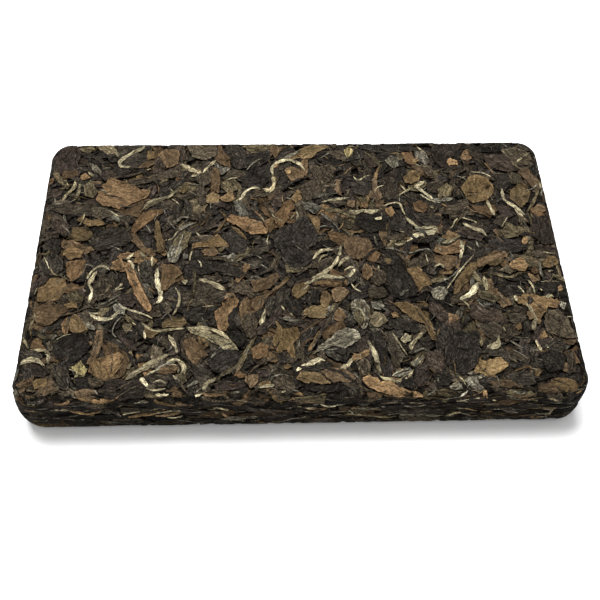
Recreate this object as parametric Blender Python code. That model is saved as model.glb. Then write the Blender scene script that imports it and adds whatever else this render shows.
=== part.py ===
"""A pressed brick of white tea, 1 kg, lying flat: one solid with its leaves as relief.

Metres, +Z up. The origin is the middle of the underside, X runs along the brick's length
and Y across its depth, away from the front.

Withered leaves, buds and stalks are steamed and pressed in a steel mould. The script does the
same: it scatters leaf pieces over every face of a smaller core, fuses them to it, and then
trims what is proud to the inside of the mould.
"""
import math
import random

import bmesh
import bpy
from mathutils import Matrix, Vector

MM = 0.001

# The mould, which gives the brick its size.
LENGTH = 250 * MM
DEPTH = 150 * MM
HEIGHT = 27.5 * MM
CORNER_RADIUS = 10.5 * MM
EDGE_RADIUS = 2.6 * MM
CORNER_STEPS = 6
EDGE_STEPS = 2

# How far the core lies inside the mould, on each face: the depth of the gaps between leaves.
TOP_GAP = 0.9 * MM
SIDE_GAP = 0.9 * MM
UNDER_GAP = 0.6 * MM

# Leaf pieces on the two broad faces: the spacing of their jittered grid and their sizes.
TOP_GRID = (11, 6)
UNDER_GRID = (5, 4)
LEAF_LENGTH = (19 * MM, 34 * MM)
LEAF_WIDTH = (9 * MM, 17 * MM)
LEAF_THICKNESS = 2.0 * MM
LEAF_WAVE = 0.28 * MM
LEAF_TILT = math.radians(1.6)
LEAF_CELLS = (3, 2)
FOOT_LEAF = (34 * MM, 20 * MM)

# Downy buds and bare stalks, which lie on the upper face among the leaves.
BUD_COUNT = 12
BUD_LENGTH = (14 * MM, 25 * MM)
BUD_WIDTH = (2.6 * MM, 4.2 * MM)
STALK_COUNT = 12
STALK_LENGTH = (16 * MM, 36 * MM)
STALK_RADIUS = 0.75 * MM
STALK_POINTS = 7
STALK_TURN = math.radians(260)

# Edges of the layered leaves, which show all round the side.
SIDE_ROWS = 5
SIDE_STEP = 37 * MM
SIDE_LEAF_LENGTH = (18 * MM, 36 * MM)
SIDE_LEAF_WIDTH = (7 * MM, 12 * MM)
SIDE_LEAF_THICKNESS = (0.8 * MM, 2.4 * MM)
SIDE_LEAF_SWING = math.radians(14)
SIDE_LEAF_CELLS = (2, 1)

CLEARANCE = 0.02 * MM
SEED = 58

LEAF_BROWN = (0.066, 0.049, 0.033, 1.0)
LEAF_ROUGHNESS = 0.78

draw = random.Random(SEED)


def clear_scene():
    """Starts from an empty scene."""
    for obj in list(bpy.data.objects):
        bpy.data.objects.remove(obj, do_unlink=True)


def new_collection(name):
    collection = bpy.data.collections.new(name)
    bpy.context.scene.collection.children.link(collection)
    return collection


def add_object(name, bm, collection):
    """Makes an object of a bmesh, which it frees."""
    bmesh.ops.recalc_face_normals(bm, faces=bm.faces)
    mesh = bpy.data.meshes.new(name)
    bm.to_mesh(mesh)
    bm.free()
    obj = bpy.data.objects.new(name, mesh)
    collection.objects.link(obj)
    return obj


def rounded_slab(length, depth, low, high, corner, edge):
    """A slab between two heights with round upright corners and eased rims."""
    bm = bmesh.new()
    bmesh.ops.create_cube(bm, size=1.0)
    size = Matrix.Diagonal((length, depth, high - low, 1.0))
    place = Matrix.Translation((0.0, 0.0, (low + high) / 2))
    bmesh.ops.transform(bm, matrix=place @ size, verts=bm.verts)
    middle = (low + high) / 2
    upright = [e for e in bm.edges if (e.verts[0].co.z - middle) * (e.verts[1].co.z - middle) < 0]
    bmesh.ops.bevel(bm, geom=upright, offset=corner, offset_type="OFFSET", affect="EDGES",
                    segments=CORNER_STEPS, profile=0.5, material=-1)
    rims = [e for e in bm.edges if abs(e.verts[0].co.z - e.verts[1].co.z) < CLEARANCE]
    bmesh.ops.bevel(bm, geom=rims, offset=edge, offset_type="OFFSET", affect="EDGES",
                    segments=EDGE_STEPS, profile=0.5, material=-1)
    return bm


def placed(point, heading, pitch=0.0, roll=0.0):
    """A matrix that turns a piece to its heading, tips it, and puts it at a point."""
    turn = Matrix.Rotation(heading, 4, "Z") @ Matrix.Rotation(pitch, 4, "Y") @ Matrix.Rotation(roll, 4, "X")
    return Matrix.Translation(point) @ turn


def leaf_piece(length, width, start, end, thickness=LEAF_THICKNESS, cells=LEAF_CELLS):
    """A torn piece of leaf: the blade between two stations of its length, wavy, with parallel faces.

    The blade's half-width follows a sine from stalk to tip, and start and end say where it broke.
    """
    bm = bmesh.new()
    bmesh.ops.create_grid(bm, x_segments=cells[0], y_segments=cells[1], size=0.5)
    phase = draw.uniform(0.0, 2 * math.pi)
    skew = draw.uniform(-0.35, 0.35)
    for vert in bm.verts:
        along = vert.co.x + 0.5
        across = vert.co.y * 2
        station = start + (end - start) * along
        half = math.sin(math.pi * station) ** 0.7 * width / 2
        ragged = 1.0 + draw.uniform(-0.16, 0.16) * abs(across)
        x = (along - 0.5) * length + skew * across * width * 0.4
        y = across * half * ragged
        wave = LEAF_WAVE * math.sin(phase + 5.0 * along + 1.6 * across)
        vert.co = Vector((x, y, wave))
    bmesh.ops.triangulate(bm, faces=bm.faces)
    grown = bmesh.ops.extrude_face_region(bm, geom=bm.faces[:])
    moved = [g for g in grown["geom"] if isinstance(g, bmesh.types.BMVert)]
    bmesh.ops.translate(bm, verts=moved, vec=(0.0, 0.0, -thickness))
    return bm


def random_leaf():
    """A leaf piece of a size and a tear drawn at random."""
    start = draw.uniform(0.04, 0.30)
    end = draw.uniform(0.62, 0.96)
    return leaf_piece(draw.uniform(*LEAF_LENGTH), draw.uniform(*LEAF_WIDTH), start, end)


def jittered_grid(counts):
    """Points spread evenly over the mould's plan, each moved within its own cell."""
    step_x = LENGTH / counts[0]
    step_y = DEPTH / counts[1]
    for column in range(counts[0]):
        for row in range(counts[1]):
            x = (column + 0.5 + draw.uniform(-0.42, 0.42)) * step_x - LENGTH / 2
            y = (row + 0.5 + draw.uniform(-0.42, 0.42)) * step_y - DEPTH / 2
            yield x, y


def lay_leaves(collection, counts, top):
    """Leaf pieces flat on the upper face, or face down on the underside."""
    for number, (x, y) in enumerate(jittered_grid(counts)):
        bm = random_leaf()
        matrix = placed((x, y, 0.0), draw.uniform(0, 2 * math.pi),
                        draw.uniform(-LEAF_TILT, LEAF_TILT), draw.uniform(-LEAF_TILT, LEAF_TILT))
        if top:
            rise = HEIGHT - TOP_GAP * draw.uniform(-0.15, 0.62)
            name = f"top_leaf_{number:03d}"
        else:
            rise = UNDER_GAP * draw.uniform(-0.8, 0.2)
            matrix = Matrix.Diagonal((1.0, 1.0, -1.0, 1.0)) @ matrix
            name = f"under_leaf_{number:03d}"
        bmesh.ops.transform(bm, matrix=Matrix.Translation((0.0, 0.0, rise)) @ matrix, verts=bm.verts)
        add_object(name, bm, collection)


def lay_foot_leaf(collection):
    """The leaf in the middle of the underside, pressed flat by the mould's floor."""
    bm = leaf_piece(*FOOT_LEAF, 0.2, 0.8)
    bmesh.ops.translate(bm, verts=bm.verts, vec=(0.0, 0.0, LEAF_THICKNESS - LEAF_WAVE * 1.5))
    add_object("foot_leaf", bm, collection)


def point_on_top(margin):
    """A random place on the upper face, at least a margin inside the mould's walls."""
    x = draw.uniform(margin - LENGTH / 2, LENGTH / 2 - margin)
    y = draw.uniform(margin - DEPTH / 2, DEPTH / 2 - margin)
    return x, y


def lay_buds(collection):
    """Spindle-shaped buds, half sunk in the leaves round them."""
    for number in range(BUD_COUNT):
        bm = bmesh.new()
        bmesh.ops.create_uvsphere(bm, u_segments=6, v_segments=4, radius=0.5)
        length = draw.uniform(*BUD_LENGTH)
        width = draw.uniform(*BUD_WIDTH)
        bend = draw.uniform(-0.18, 0.18) * length
        lie_down = Matrix.Rotation(math.pi / 2, 4, "Y")
        bmesh.ops.transform(bm, matrix=lie_down, verts=bm.verts)
        for vert in bm.verts:
            along = vert.co.x * 2
            vert.co = Vector((vert.co.x * length, vert.co.y * width + bend * along * along, vert.co.z * width * 0.8))
        x, y = point_on_top(width * 4)
        place = placed((x, y, HEIGHT - TOP_GAP * 0.75), draw.uniform(0, 2 * math.pi))
        bmesh.ops.transform(bm, matrix=place, verts=bm.verts)
        add_object(f"bud_{number:03d}", bm, collection)


def stalk_path(length):
    """Points of a bare stalk lying on the leaves, whose heading swings from side to side."""
    step = length / (STALK_POINTS - 1)
    turn = draw.uniform(-STALK_TURN, STALK_TURN)
    flip = draw.uniform(0.3, 0.8)
    heading = draw.uniform(0, 2 * math.pi)
    point = Vector((0.0, 0.0, 0.0))
    points = [point.copy()]
    for number in range(1, STALK_POINTS):
        way = 1.0 if number / STALK_POINTS < flip else -1.0
        heading += way * turn / STALK_POINTS
        point += Vector((math.cos(heading), math.sin(heading), 0.0)) * step
        points.append(point.copy())
    middle = sum(points, Vector()) / len(points)
    return [p - middle for p in points]


def lay_stalks(collection):
    """Thin round stalks, each a curve made a mesh, with its end caps welded on."""
    for number in range(STALK_COUNT):
        points = stalk_path(draw.uniform(*STALK_LENGTH))
        reach = max(p.length for p in points)
        x, y = point_on_top(reach)
        curve = bpy.data.curves.new(f"stalk_path_{number:03d}", "CURVE")
        curve.dimensions = "3D"
        curve.bevel_depth = STALK_RADIUS
        curve.bevel_resolution = 0
        curve.use_fill_caps = True
        spline = curve.splines.new("POLY")
        spline.points.add(len(points) - 1)
        for target, p in zip(spline.points, points):
            target.co = (x + p.x, y + p.y, HEIGHT - TOP_GAP * 0.62, 1.0)
        wire = bpy.data.objects.new(curve.name, curve)
        collection.objects.link(wire)
        bpy.context.view_layer.update()
        mesh = bpy.data.meshes.new_from_object(wire.evaluated_get(bpy.context.evaluated_depsgraph_get()))
        bm = bmesh.new()
        bm.from_mesh(mesh)
        bm.transform(wire.matrix_world)
        bpy.data.objects.remove(wire, do_unlink=True)
        bpy.data.meshes.remove(mesh)
        bmesh.ops.remove_doubles(bm, verts=bm.verts, dist=CLEARANCE / 2)
        add_object(f"stalk_{number:03d}", bm, collection)


def along_the_wall(distance):
    """The point and outward heading on the mould's wall at a distance round it from the front left."""
    straight_x = LENGTH - 2 * CORNER_RADIUS
    straight_y = DEPTH - 2 * CORNER_RADIUS
    quarter = CORNER_RADIUS * math.pi / 2
    runs = (straight_x, quarter, straight_y, quarter) * 2
    centre = Vector((-straight_x / 2, -straight_y / 2))
    heading = -math.pi / 2
    for number, run in enumerate(runs):
        on_corner = number % 2 == 1
        part = min(distance, run)
        outward = Vector((math.cos(heading), math.sin(heading)))
        forward = Vector((-outward.y, outward.x))
        if on_corner:
            heading += part / CORNER_RADIUS
        else:
            centre = centre + forward * part
        distance -= part
        if distance <= 0:
            break
    outward = Vector((math.cos(heading), math.sin(heading)))
    return centre + outward * CORNER_RADIUS, heading


def lay_side_leaves(collection):
    """Leaf pieces lying level in rows up the side, whose edges reach out to the mould's wall."""
    girth = 2 * (LENGTH + DEPTH - 4 * CORNER_RADIUS) + 2 * math.pi * CORNER_RADIUS
    per_row = int(girth / SIDE_STEP)
    for row in range(SIDE_ROWS):
        for number in range(per_row):
            distance = (number + (row % 2) / 2 + draw.uniform(-0.35, 0.35)) * girth / per_row
            point, heading = along_the_wall(distance % girth)
            rise = EDGE_RADIUS + (row + draw.uniform(0.3, 0.9)) * (HEIGHT - 2 * EDGE_RADIUS) / SIDE_ROWS
            width = draw.uniform(*SIDE_LEAF_WIDTH)
            reach = width / 2 - draw.uniform(-0.75, 0.45) * SIDE_GAP
            centre = point - reach * Vector((math.cos(heading), math.sin(heading)))
            bm = leaf_piece(draw.uniform(*SIDE_LEAF_LENGTH), width, draw.uniform(0.05, 0.3),
                            draw.uniform(0.7, 0.95), draw.uniform(*SIDE_LEAF_THICKNESS), SIDE_LEAF_CELLS)
            along = heading + math.pi / 2 + draw.uniform(-SIDE_LEAF_SWING, SIDE_LEAF_SWING)
            bmesh.ops.transform(bm, matrix=placed((centre.x, centre.y, rise), along), verts=bm.verts)
            add_object(f"side_leaf_{row}_{number:02d}", bm, collection)


def apply_boolean(target, operation, name, **operand):
    """Joins or trims the target by the MANIFOLD solver, and applies it."""
    modifier = target.modifiers.new(name, "BOOLEAN")
    modifier.operation = operation
    modifier.solver = "MANIFOLD"
    for key, value in operand.items():
        setattr(modifier, key, value)
    bpy.context.view_layer.update()
    graph = bpy.context.evaluated_depsgraph_get()
    mesh = bpy.data.meshes.new_from_object(target.evaluated_get(graph))
    target.modifiers.remove(modifier)
    target.data = mesh


def keep_main_body(obj):
    """Drops loose scraps, and fills any hollow sealed among the leaves by dropping its inner skin."""
    bm = bmesh.new()
    bm.from_mesh(obj.data)
    unseen = set(bm.faces)
    islands = []
    while unseen:
        island = {unseen.pop()}
        edge_of_island = list(island)
        while edge_of_island:
            near = {g for e in edge_of_island.pop().edges for g in e.link_faces} & unseen
            unseen -= near
            island |= near
            edge_of_island.extend(near)
        islands.append(island)
    islands.sort(key=len)
    for island in islands[:-1]:
        bmesh.ops.delete(bm, geom=list(island), context="FACES")
    bm.to_mesh(obj.data)
    bm.free()


def tea_material():
    """Dry, matt, dark brown leaf."""
    material = bpy.data.materials.new("pressed_tea_leaf")
    material.use_nodes = True
    shader = material.node_tree.nodes["Principled BSDF"]
    shader.inputs["Base Color"].default_value = LEAF_BROWN
    shader.inputs["Roughness"].default_value = LEAF_ROUGHNESS
    shader.inputs["Metallic"].default_value = 0.0
    return material


def build():
    clear_scene()
    brick_parts = new_collection("white_tea_brick")
    pieces = new_collection("loose_leaf")
    cutters = new_collection("cutters")

    core = rounded_slab(LENGTH - 2 * SIDE_GAP, DEPTH - 2 * SIDE_GAP, UNDER_GAP, HEIGHT - TOP_GAP,
                        CORNER_RADIUS - SIDE_GAP, EDGE_RADIUS)
    brick = add_object("tea_brick", core, brick_parts)

    lay_leaves(pieces, TOP_GRID, top=True)
    lay_leaves(pieces, UNDER_GRID, top=False)
    lay_foot_leaf(pieces)
    lay_buds(pieces)
    lay_stalks(pieces)
    lay_side_leaves(pieces)
    apply_boolean(brick, "UNION", "fuse_leaves", operand_type="COLLECTION", collection=pieces)
    for obj in list(pieces.objects):
        bpy.data.objects.remove(obj, do_unlink=True)

    inside = rounded_slab(LENGTH, DEPTH, 0.0, HEIGHT, CORNER_RADIUS, EDGE_RADIUS)
    mould = add_object("mould", inside, cutters)
    apply_boolean(brick, "INTERSECT", "trim_to_mould", operand_type="OBJECT", object=mould)
    bpy.data.objects.remove(mould, do_unlink=True)
    keep_main_body(brick)

    brick.data.name = "tea_brick"
    brick.data.materials.clear()
    brick.data.materials.append(tea_material())


build()
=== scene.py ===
"""A pressed brick of white tea lying on a white studio table.

Withered tea leaves, downy buds and stalks are steamed and pressed in a steel mould. The script
does the same: it drops leaves one by one on a height map of each face, lets each one drape over
what lies below, and then presses the pile to the inside of the mould.
"""
import math
import bmesh
import bpy
import numpy as np
from mathutils import Matrix, Vector
from mathutils.geometry import delaunay_2d_cdt


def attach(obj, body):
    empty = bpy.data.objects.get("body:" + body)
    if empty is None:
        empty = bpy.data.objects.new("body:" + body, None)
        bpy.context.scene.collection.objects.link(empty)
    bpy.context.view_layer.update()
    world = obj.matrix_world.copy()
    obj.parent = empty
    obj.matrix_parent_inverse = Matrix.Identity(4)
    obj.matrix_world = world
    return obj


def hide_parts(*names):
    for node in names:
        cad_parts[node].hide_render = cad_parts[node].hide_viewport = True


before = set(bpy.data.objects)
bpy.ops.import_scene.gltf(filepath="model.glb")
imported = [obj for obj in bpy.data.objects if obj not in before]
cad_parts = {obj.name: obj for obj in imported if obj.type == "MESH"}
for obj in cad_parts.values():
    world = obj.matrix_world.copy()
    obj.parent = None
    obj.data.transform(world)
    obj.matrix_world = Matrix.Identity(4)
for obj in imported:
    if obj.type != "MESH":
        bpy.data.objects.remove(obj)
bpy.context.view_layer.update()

# --------------------------------------------------
# The mould: a steel box whose inside, in millimetres, gives the brick its shape. Each wall is a
# flat plan that is rolled onto the inside of the box. A wall's function gives the point that
# lies `below` millimetres inside it at (u, v).
# --------------------------------------------------

LENGTH = 250.0
DEPTH = 150.0
HEIGHT = 27.5
CORNER = 10.5
EDGE = 3.4
HALF = np.array([LENGTH, DEPTH]) / 2
STRAIGHT_X = LENGTH - 2 * CORNER
STRAIGHT_Y = DEPTH - 2 * CORNER
QUARTER = CORNER * math.pi / 2
GIRTH = 2 * (STRAIGHT_X + STRAIGHT_Y) + 4 * QUARTER

# Out of the mould, the brick's corners spring back: so far past the round, at mid-height.
CORNER_SWELL = {(-1, -1): 2.6, (1, -1): 1.6, (-1, 1): 0.7, (1, 1): -0.5}
SWELL_REACH = 20.0
SWELL_AT_RIM = 0.35
SWELL_AT_FOOT = -0.45


def swelled(place):
    """Places on the brick, with those near an upright corner pushed out by that corner's swell."""
    rise = np.clip(place[:, 2] / HEIGHT, 0.0, 1.0)
    ends = SWELL_AT_FOOT + (SWELL_AT_RIM - SWELL_AT_FOOT) * rise
    rise = ends + (1 - ends) * np.sin(math.pi * rise)
    moved = place.copy()
    for ways, amount in CORNER_SWELL.items():
        inward = HALF - place[:, :2] * ways
        share = np.clip(1 - inward / SWELL_REACH, 0.0, 1.0).prod(1)
        moved[:, :2] += (amount * share * rise)[:, None] * ways * math.sqrt(0.5)
    return moved


def past_the_edge(plan):
    """How far points of a plan lie past the line where the edge starts to turn, and which way."""
    past = np.abs(plan) - (HALF - CORNER)
    outside = np.maximum(past, 0.0)
    reach = np.linalg.norm(outside, axis=1)
    heading = np.sign(plan) * outside / np.maximum(reach, 1e-9)[:, None]
    return np.maximum(reach + np.minimum(past.max(1), 0.0) - (CORNER - EDGE), 0.0), heading


def over_the_edge(u, v, below, top):
    """The upper or under wall, whose plan carries on round the eased edge and along the side."""
    plan = np.stack([u, v], 1)
    away, heading = past_the_edge(plan)
    turn = np.minimum(away / EDGE, math.pi / 2)
    fall = np.maximum(away - EDGE * math.pi / 2, 0.0)
    base = plan - heading * away[:, None]
    out = EDGE * np.sin(turn) - below * np.sin(turn)
    drop = EDGE * (1 - np.cos(turn)) + fall + below * np.cos(turn)
    place = base + heading * out[:, None]
    return swelled(np.column_stack([place, HEIGHT - drop if top else drop]))


def upper(u, v, below):
    return over_the_edge(u, v, below, True)


def under(u, v, below):
    return over_the_edge(u, v, below, False)


def all_round(u, v, below):
    """The wall all round. u runs along the girth from the front's left end, and v is the height."""
    straights = [0, STRAIGHT_X, QUARTER, STRAIGHT_Y, QUARTER, STRAIGHT_X, QUARTER, STRAIGHT_Y, QUARTER]
    ends = np.cumsum(straights)
    s = np.mod(u, GIRTH)
    run = np.searchsorted(ends, s, side="right") - 1
    into = s - ends[run]
    corners_x = np.array([-1, 1, 1, 1, 1, -1, -1, -1]) * STRAIGHT_X / 2
    corners_y = np.array([-1, -1, -1, 1, 1, 1, 1, -1]) * STRAIGHT_Y / 2
    start = np.array([0, 0, 1, 1, 2, 2, 3, 3]) * math.pi / 2 - math.pi / 2
    bent = run % 2 == 1
    heading = start[run] + np.where(bent, into / CORNER, 0.0)
    ahead = np.where(bent, 0.0, into)
    eased = np.maximum(np.maximum(EDGE - v, v - (HEIGHT - EDGE)), 0.0)
    inset = EDGE - np.sqrt(np.maximum(EDGE ** 2 - np.minimum(eased, EDGE) ** 2, 0.0))
    out = CORNER - below - inset
    x = corners_x[run] - np.sin(heading) * ahead + np.cos(heading) * out
    y = corners_y[run] + np.cos(heading) * ahead + np.sin(heading) * out
    return swelled(np.column_stack([x, y, np.clip(v, 0.0, HEIGHT)]))


# --------------------------------------------------
# Dry tea: withered leaf and bud, steamed and pressed. The grain follows the veins, the surface
# has crumpled into small facets that crack apart, and down and dust lie on it. It is matt.
# --------------------------------------------------

# Patterns on a leaf's own plan are scaled to the millimetre, and those on its place to the metre.
BENDS_PER_MM = 0.11  # the grain wanders about once in 9 mm
BEND_REACH = (7.0, 7.0, 0.0)
ALONG_THE_GRAIN = (0.15, 1.0, 1.0)  # ridges and hairs are seven times as long as they are apart
FACET_SHAPE = (0.33, 1.0, 1.0)  # facets are three times as long as wide
FACETS_PER_RIDGE = 0.5
HAIRS_PER_RIDGE = 1.4
BLOTCHES_PER_METRE = 260.0  # blotches are some 4 mm wide
FLECKS_PER_METRE = 1150.0  # down is finer than this, which is as coarse as it needs to show
CREASE_DEPTH = 0.0006
RIDGE_DEPTH = 0.0008
LEAF_GLOSS = 0.03

# Colours are those that the tea shows on the brick. Its own tone is that colour divided by one of these: the
# studio's light on the upper face; twice that on the side, which is darker to the eye, so that the side's
# shade is painted into the colour of its loose leaves and layers; and less for the pale streaks that stand
# out on the side.
ON_TOP = 2.1
ON_SIDE_WITH_PAINTED_SHADE = 4.2
ON_STREAKS = 0.9

palettes = {}
piece_of = {}
materials = {}
random = np.random.default_rng(58)


def linear(colour):
    """A hex sRGB colour as linear red, green and blue."""
    value = np.array([int(colour[n:n + 2], 16) for n in (0, 2, 4)]) / 255
    return np.where(value <= 0.04045, value / 12.92, ((value + 0.055) / 1.055) ** 2.4)


def tone_of(kind, spread=0.16, light=ON_TOP):
    """One leaf's own tone: a mix of two of its kind's colours, lighter or darker by chance."""
    first, second = random.choice(len(palettes[kind]), 2)
    mix = random.uniform()
    colour = linear(palettes[kind][first]) * mix + linear(palettes[kind][second]) * (1 - mix)
    return colour * math.exp(random.normal(0.0, spread)) / light


def add(tree, kind, settings=None, links=None):
    """A shader node. A setting is a property or the value of an input, and a link feeds an input."""
    node = tree.nodes.new(kind)
    for name, value in (settings or {}).items():
        if isinstance(name, str) and hasattr(node, name):
            setattr(node, name, value)
        else:
            node.inputs[name].default_value = value
    for name, source in (links or {}).items():
        tree.links.new(source, node.inputs[name])
    return node


def dry_tea(name, ridge, crack, hair, fleck, fineness, roughness):
    """Dry tea in a leaf's own tone. Its fineness is the number of ridges to a millimetre.

    Ridge, crack, hair and fleck say how strongly each of them lightens or darkens the tone.
    """
    material = bpy.data.materials.new(name)
    material.use_nodes = True
    tree = material.node_tree
    shader = tree.nodes["Principled BSDF"]
    tone = add(tree, "ShaderNodeAttribute", {"attribute_name": "tone"})
    plan = add(tree, "ShaderNodeUVMap", {"uv_map": "UVMap"}).outputs["UV"]
    place = add(tree, "ShaderNodeTexCoord").outputs["Object"]

    # The grain wanders. Ridges and pale hairs run along it.
    sway = add(tree, "ShaderNodeTexNoise", {"Scale": BENDS_PER_MM, "Detail": 2.0}, {"Vector": plan})
    bent = add(tree, "ShaderNodeVectorMath", {"operation": "MULTIPLY_ADD", 1: BEND_REACH},
               {0: sway.outputs["Color"], 2: plan}).outputs["Vector"]
    grain = add(tree, "ShaderNodeMapping", {"Scale": ALONG_THE_GRAIN}, {"Vector": bent}).outputs["Vector"]
    ridges = add(tree, "ShaderNodeTexNoise",
                 {"Scale": fineness, "Detail": 5.0, "Roughness": 0.8, "Distortion": 0.3}, {"Vector": grain})
    hairs = add(tree, "ShaderNodeTexNoise", {"Scale": fineness * HAIRS_PER_RIDGE, "Detail": 1.0},
                {"Vector": grain})

    # Facets meet in dark cracks.
    facet_plan = add(tree, "ShaderNodeMapping", {"Scale": FACET_SHAPE}, {"Vector": bent}).outputs["Vector"]
    facet_scale = fineness * FACETS_PER_RIDGE
    facets = add(tree, "ShaderNodeTexVoronoi", {"Scale": facet_scale}, {"Vector": facet_plan})
    cracks = add(tree, "ShaderNodeTexVoronoi", {"feature": "DISTANCE_TO_EDGE", "Scale": facet_scale},
                 {"Vector": facet_plan})

    # Blotches, down and dust lie on it as it is placed in the brick.
    blotches = add(tree, "ShaderNodeTexNoise",
                   {"Scale": BLOTCHES_PER_METRE, "Detail": 5.0, "Roughness": 0.7}, {"Vector": place})
    down = add(tree, "ShaderNodeTexNoise",
               {"Scale": FLECKS_PER_METRE, "Detail": 3.0, "Roughness": 0.8}, {"Vector": place})

    # Each pattern's range, and how dark and how light it makes the tone at the ends of that range.
    colour = tone.outputs["Color"]
    for pattern, low, high, dark, light in (
            (ridges.outputs["Fac"], 0.35, 0.65, 1 - ridge, 1 + ridge * 1.6),
            (hairs.outputs["Fac"], 0.57, 0.65, 1.0, 1 + hair),
            (facets.outputs["Color"], 0.0, 1.0, 0.74, 1.26),
            (cracks.outputs["Distance"], 0.0, 0.09, 1 - crack, 1.0),
            (blotches.outputs["Fac"], 0.3, 0.7, 0.7, 1.35),
            (down.outputs["Fac"], 0.36, 0.64, 1 / (1 + fleck), 1 + fleck)):
        span = {"From Min": low, "From Max": high, "To Min": dark, "To Max": light}
        share = add(tree, "ShaderNodeMapRange", span, {"Value": pattern}).outputs["Result"]
        scaled = add(tree, "ShaderNodeVectorMath", {"operation": "SCALE"}, {0: colour, "Scale": share})
        colour = scaled.outputs["Vector"]
    tree.links.new(colour, shader.inputs["Base Color"])

    relief = {}
    for pattern, strength, depth in ((ridges.outputs["Fac"], 0.8, RIDGE_DEPTH),
                                     (facets.outputs["Distance"], 0.9, CREASE_DEPTH),
                                     (down.outputs["Fac"], 0.9, CREASE_DEPTH)):
        bump = add(tree, "ShaderNodeBump", {"Strength": strength, "Distance": depth},
                   {"Height": pattern, **relief})
        relief = {"Normal": bump.outputs["Normal"]}
    tree.links.new(relief["Normal"], shader.inputs["Normal"])
    shader.inputs["Roughness"].default_value = roughness
    shader.inputs["Specular IOR Level"].default_value = LEAF_GLOSS
    return material


def tea(piece, colours, **finish):
    """A piece of the brick: the kinds of tea in it, with each kind's colours, and its material."""
    for kind, hexes in colours.items():
        palettes[kind] = hexes.split()
        piece_of[kind] = piece
    materials[piece] = dry_tea(piece, **finish)


# --------------------------------------------------
# Black, umber and plum leaf: full-grown leaves that have darkened as the brick aged. They make up
# most of it. Their ridges show faintly, their cracks are dark, and pale down speckles them.
# --------------------------------------------------

tea("black_leaf", {"char": "2f2b26 2a2621 38332b 25221d"},
    ridge=0.35, crack=0.75, hair=0.9, fleck=1.5, fineness=1.15, roughness=0.75)
tea("umber_leaf", {"umber": "423a2f 3b3429 4a4235 383229"},
    ridge=0.35, crack=0.7, hair=0.8, fleck=1.4, fineness=1.1, roughness=0.75)
tea("plum_leaf", {"plum": "39312b 322c26 40372e 372f29"},
    ridge=0.35, crack=0.7, hair=0.7, fleck=1.3, fineness=1.1, roughness=0.75)


# --------------------------------------------------
# Brown and olive leaf: leaves that rusted while they withered, and ones that dried while they were
# still green. The brown ones are smooth, with few hairs and cracks. The olive ones are ridged.
# --------------------------------------------------

tea("brown_leaf", {"brown": "604f3a 564633 6b553c 5a4b39", "ochre": "6f5c40 65563d 7c6447 68563b",
                   "tan": "957e59 a18862 8d7551 9b8460"},
    ridge=0.4, crack=0.4, hair=0.2, fleck=0.85, fineness=0.9, roughness=0.8)
tea("olive_leaf", {"olive": "564d39 4d4635 615643 4f4735", "yellow": "8b7d55 82754c 958a5e 7c704d"},
    ridge=0.6, crack=0.55, hair=0.8, fleck=1.1, fineness=0.95, roughness=0.8)


# --------------------------------------------------
# Downy leaf and stalk: young leaves and buds under silver down, and pale stalks and curls whose
# outer skin has dried in ridges along them.
# --------------------------------------------------

tea("downy_leaf", {"grey": "615d50 565349 716b5d 676152"},
    ridge=0.7, crack=0.7, hair=1.0, fleck=1.1, fineness=1.0, roughness=0.85)
tea("stalk", {"straw": "bbad8b a89d7e cdc19d 9d9171", "pale": "c2b38f b6a783 ccbe9b ae9f7b"},
    ridge=0.75, crack=0.75, hair=0.5, fleck=0.45, fineness=1.3, roughness=0.7)


# --------------------------------------------------
# The loose pile on one wall of the mould. A height map says how high it stands, so that each new
# leaf can drape over what lies below.
# --------------------------------------------------

CELL = 0.4


class Pile:
    """The height map of one wall's pile, and what has been laid on it so far.

    It turns down where its plan carries on past the edge and down the side.
    """

    def __init__(self, low, high, to_mould, turns_down=True):
        self.low = np.array(low, float)
        self.shape = tuple(int(math.ceil((b - a) / CELL)) + 1 for a, b in zip(low, high))
        self.heights = np.zeros(self.shape)
        self.to_mould = to_mould
        self.turns_down = turns_down
        self.laid = []

    def cells(self, points):
        """Cell numbers of points, kept inside the map."""
        found = np.rint((points - self.low) / CELL).astype(int)
        return np.clip(found, 0, np.array(self.shape) - 1).T

    def read(self, points):
        return self.heights[tuple(self.cells(points))]


def neighbours(heights):
    """The map itself, and the map moved by one cell each way."""
    wide = np.pad(heights, 1, mode="edge")
    return [wide[1:-1, 1:-1], wide[2:, 1:-1], wide[:-2, 1:-1], wide[1:-1, 2:], wide[1:-1, :-2]]


def soften(heights, passes):
    """A height map let down smoothly over its bumps: the highest of each neighbourhood, averaged."""
    grown = np.maximum.reduce(neighbours(heights))
    for _ in range(passes):
        here, east, west, north, south = neighbours(grown)
        grown = (east + west + north + south + 2 * here) / 6
    return grown


def lowest_near(heights, cells):
    """Each cell's lowest height within that many cells."""
    for _ in range(cells):
        heights = np.minimum.reduce(neighbours(heights))
    return heights


def blur(heights, reach):
    """A wide Gaussian average of a height map."""
    pad = int(3 * reach / CELL)
    wide = np.pad(heights, pad, mode="edge")
    fu = np.fft.fftfreq(wide.shape[0], CELL)[:, None]
    fv = np.fft.fftfreq(wide.shape[1], CELL)[None, :]
    passed = np.exp(-2 * (math.pi * reach) ** 2 * (fu ** 2 + fv ** 2))
    filtered = np.fft.ifft2(np.fft.fft2(wide) * passed).real
    return filtered[pad:-pad, pad:-pad]


# --------------------------------------------------
# A flat leaf piece: torn from a leaf, so its edge is ragged. It is an outline on the plan, meshed
# inside, draped over the pile, and slightly folded and wavy.
# --------------------------------------------------

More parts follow.
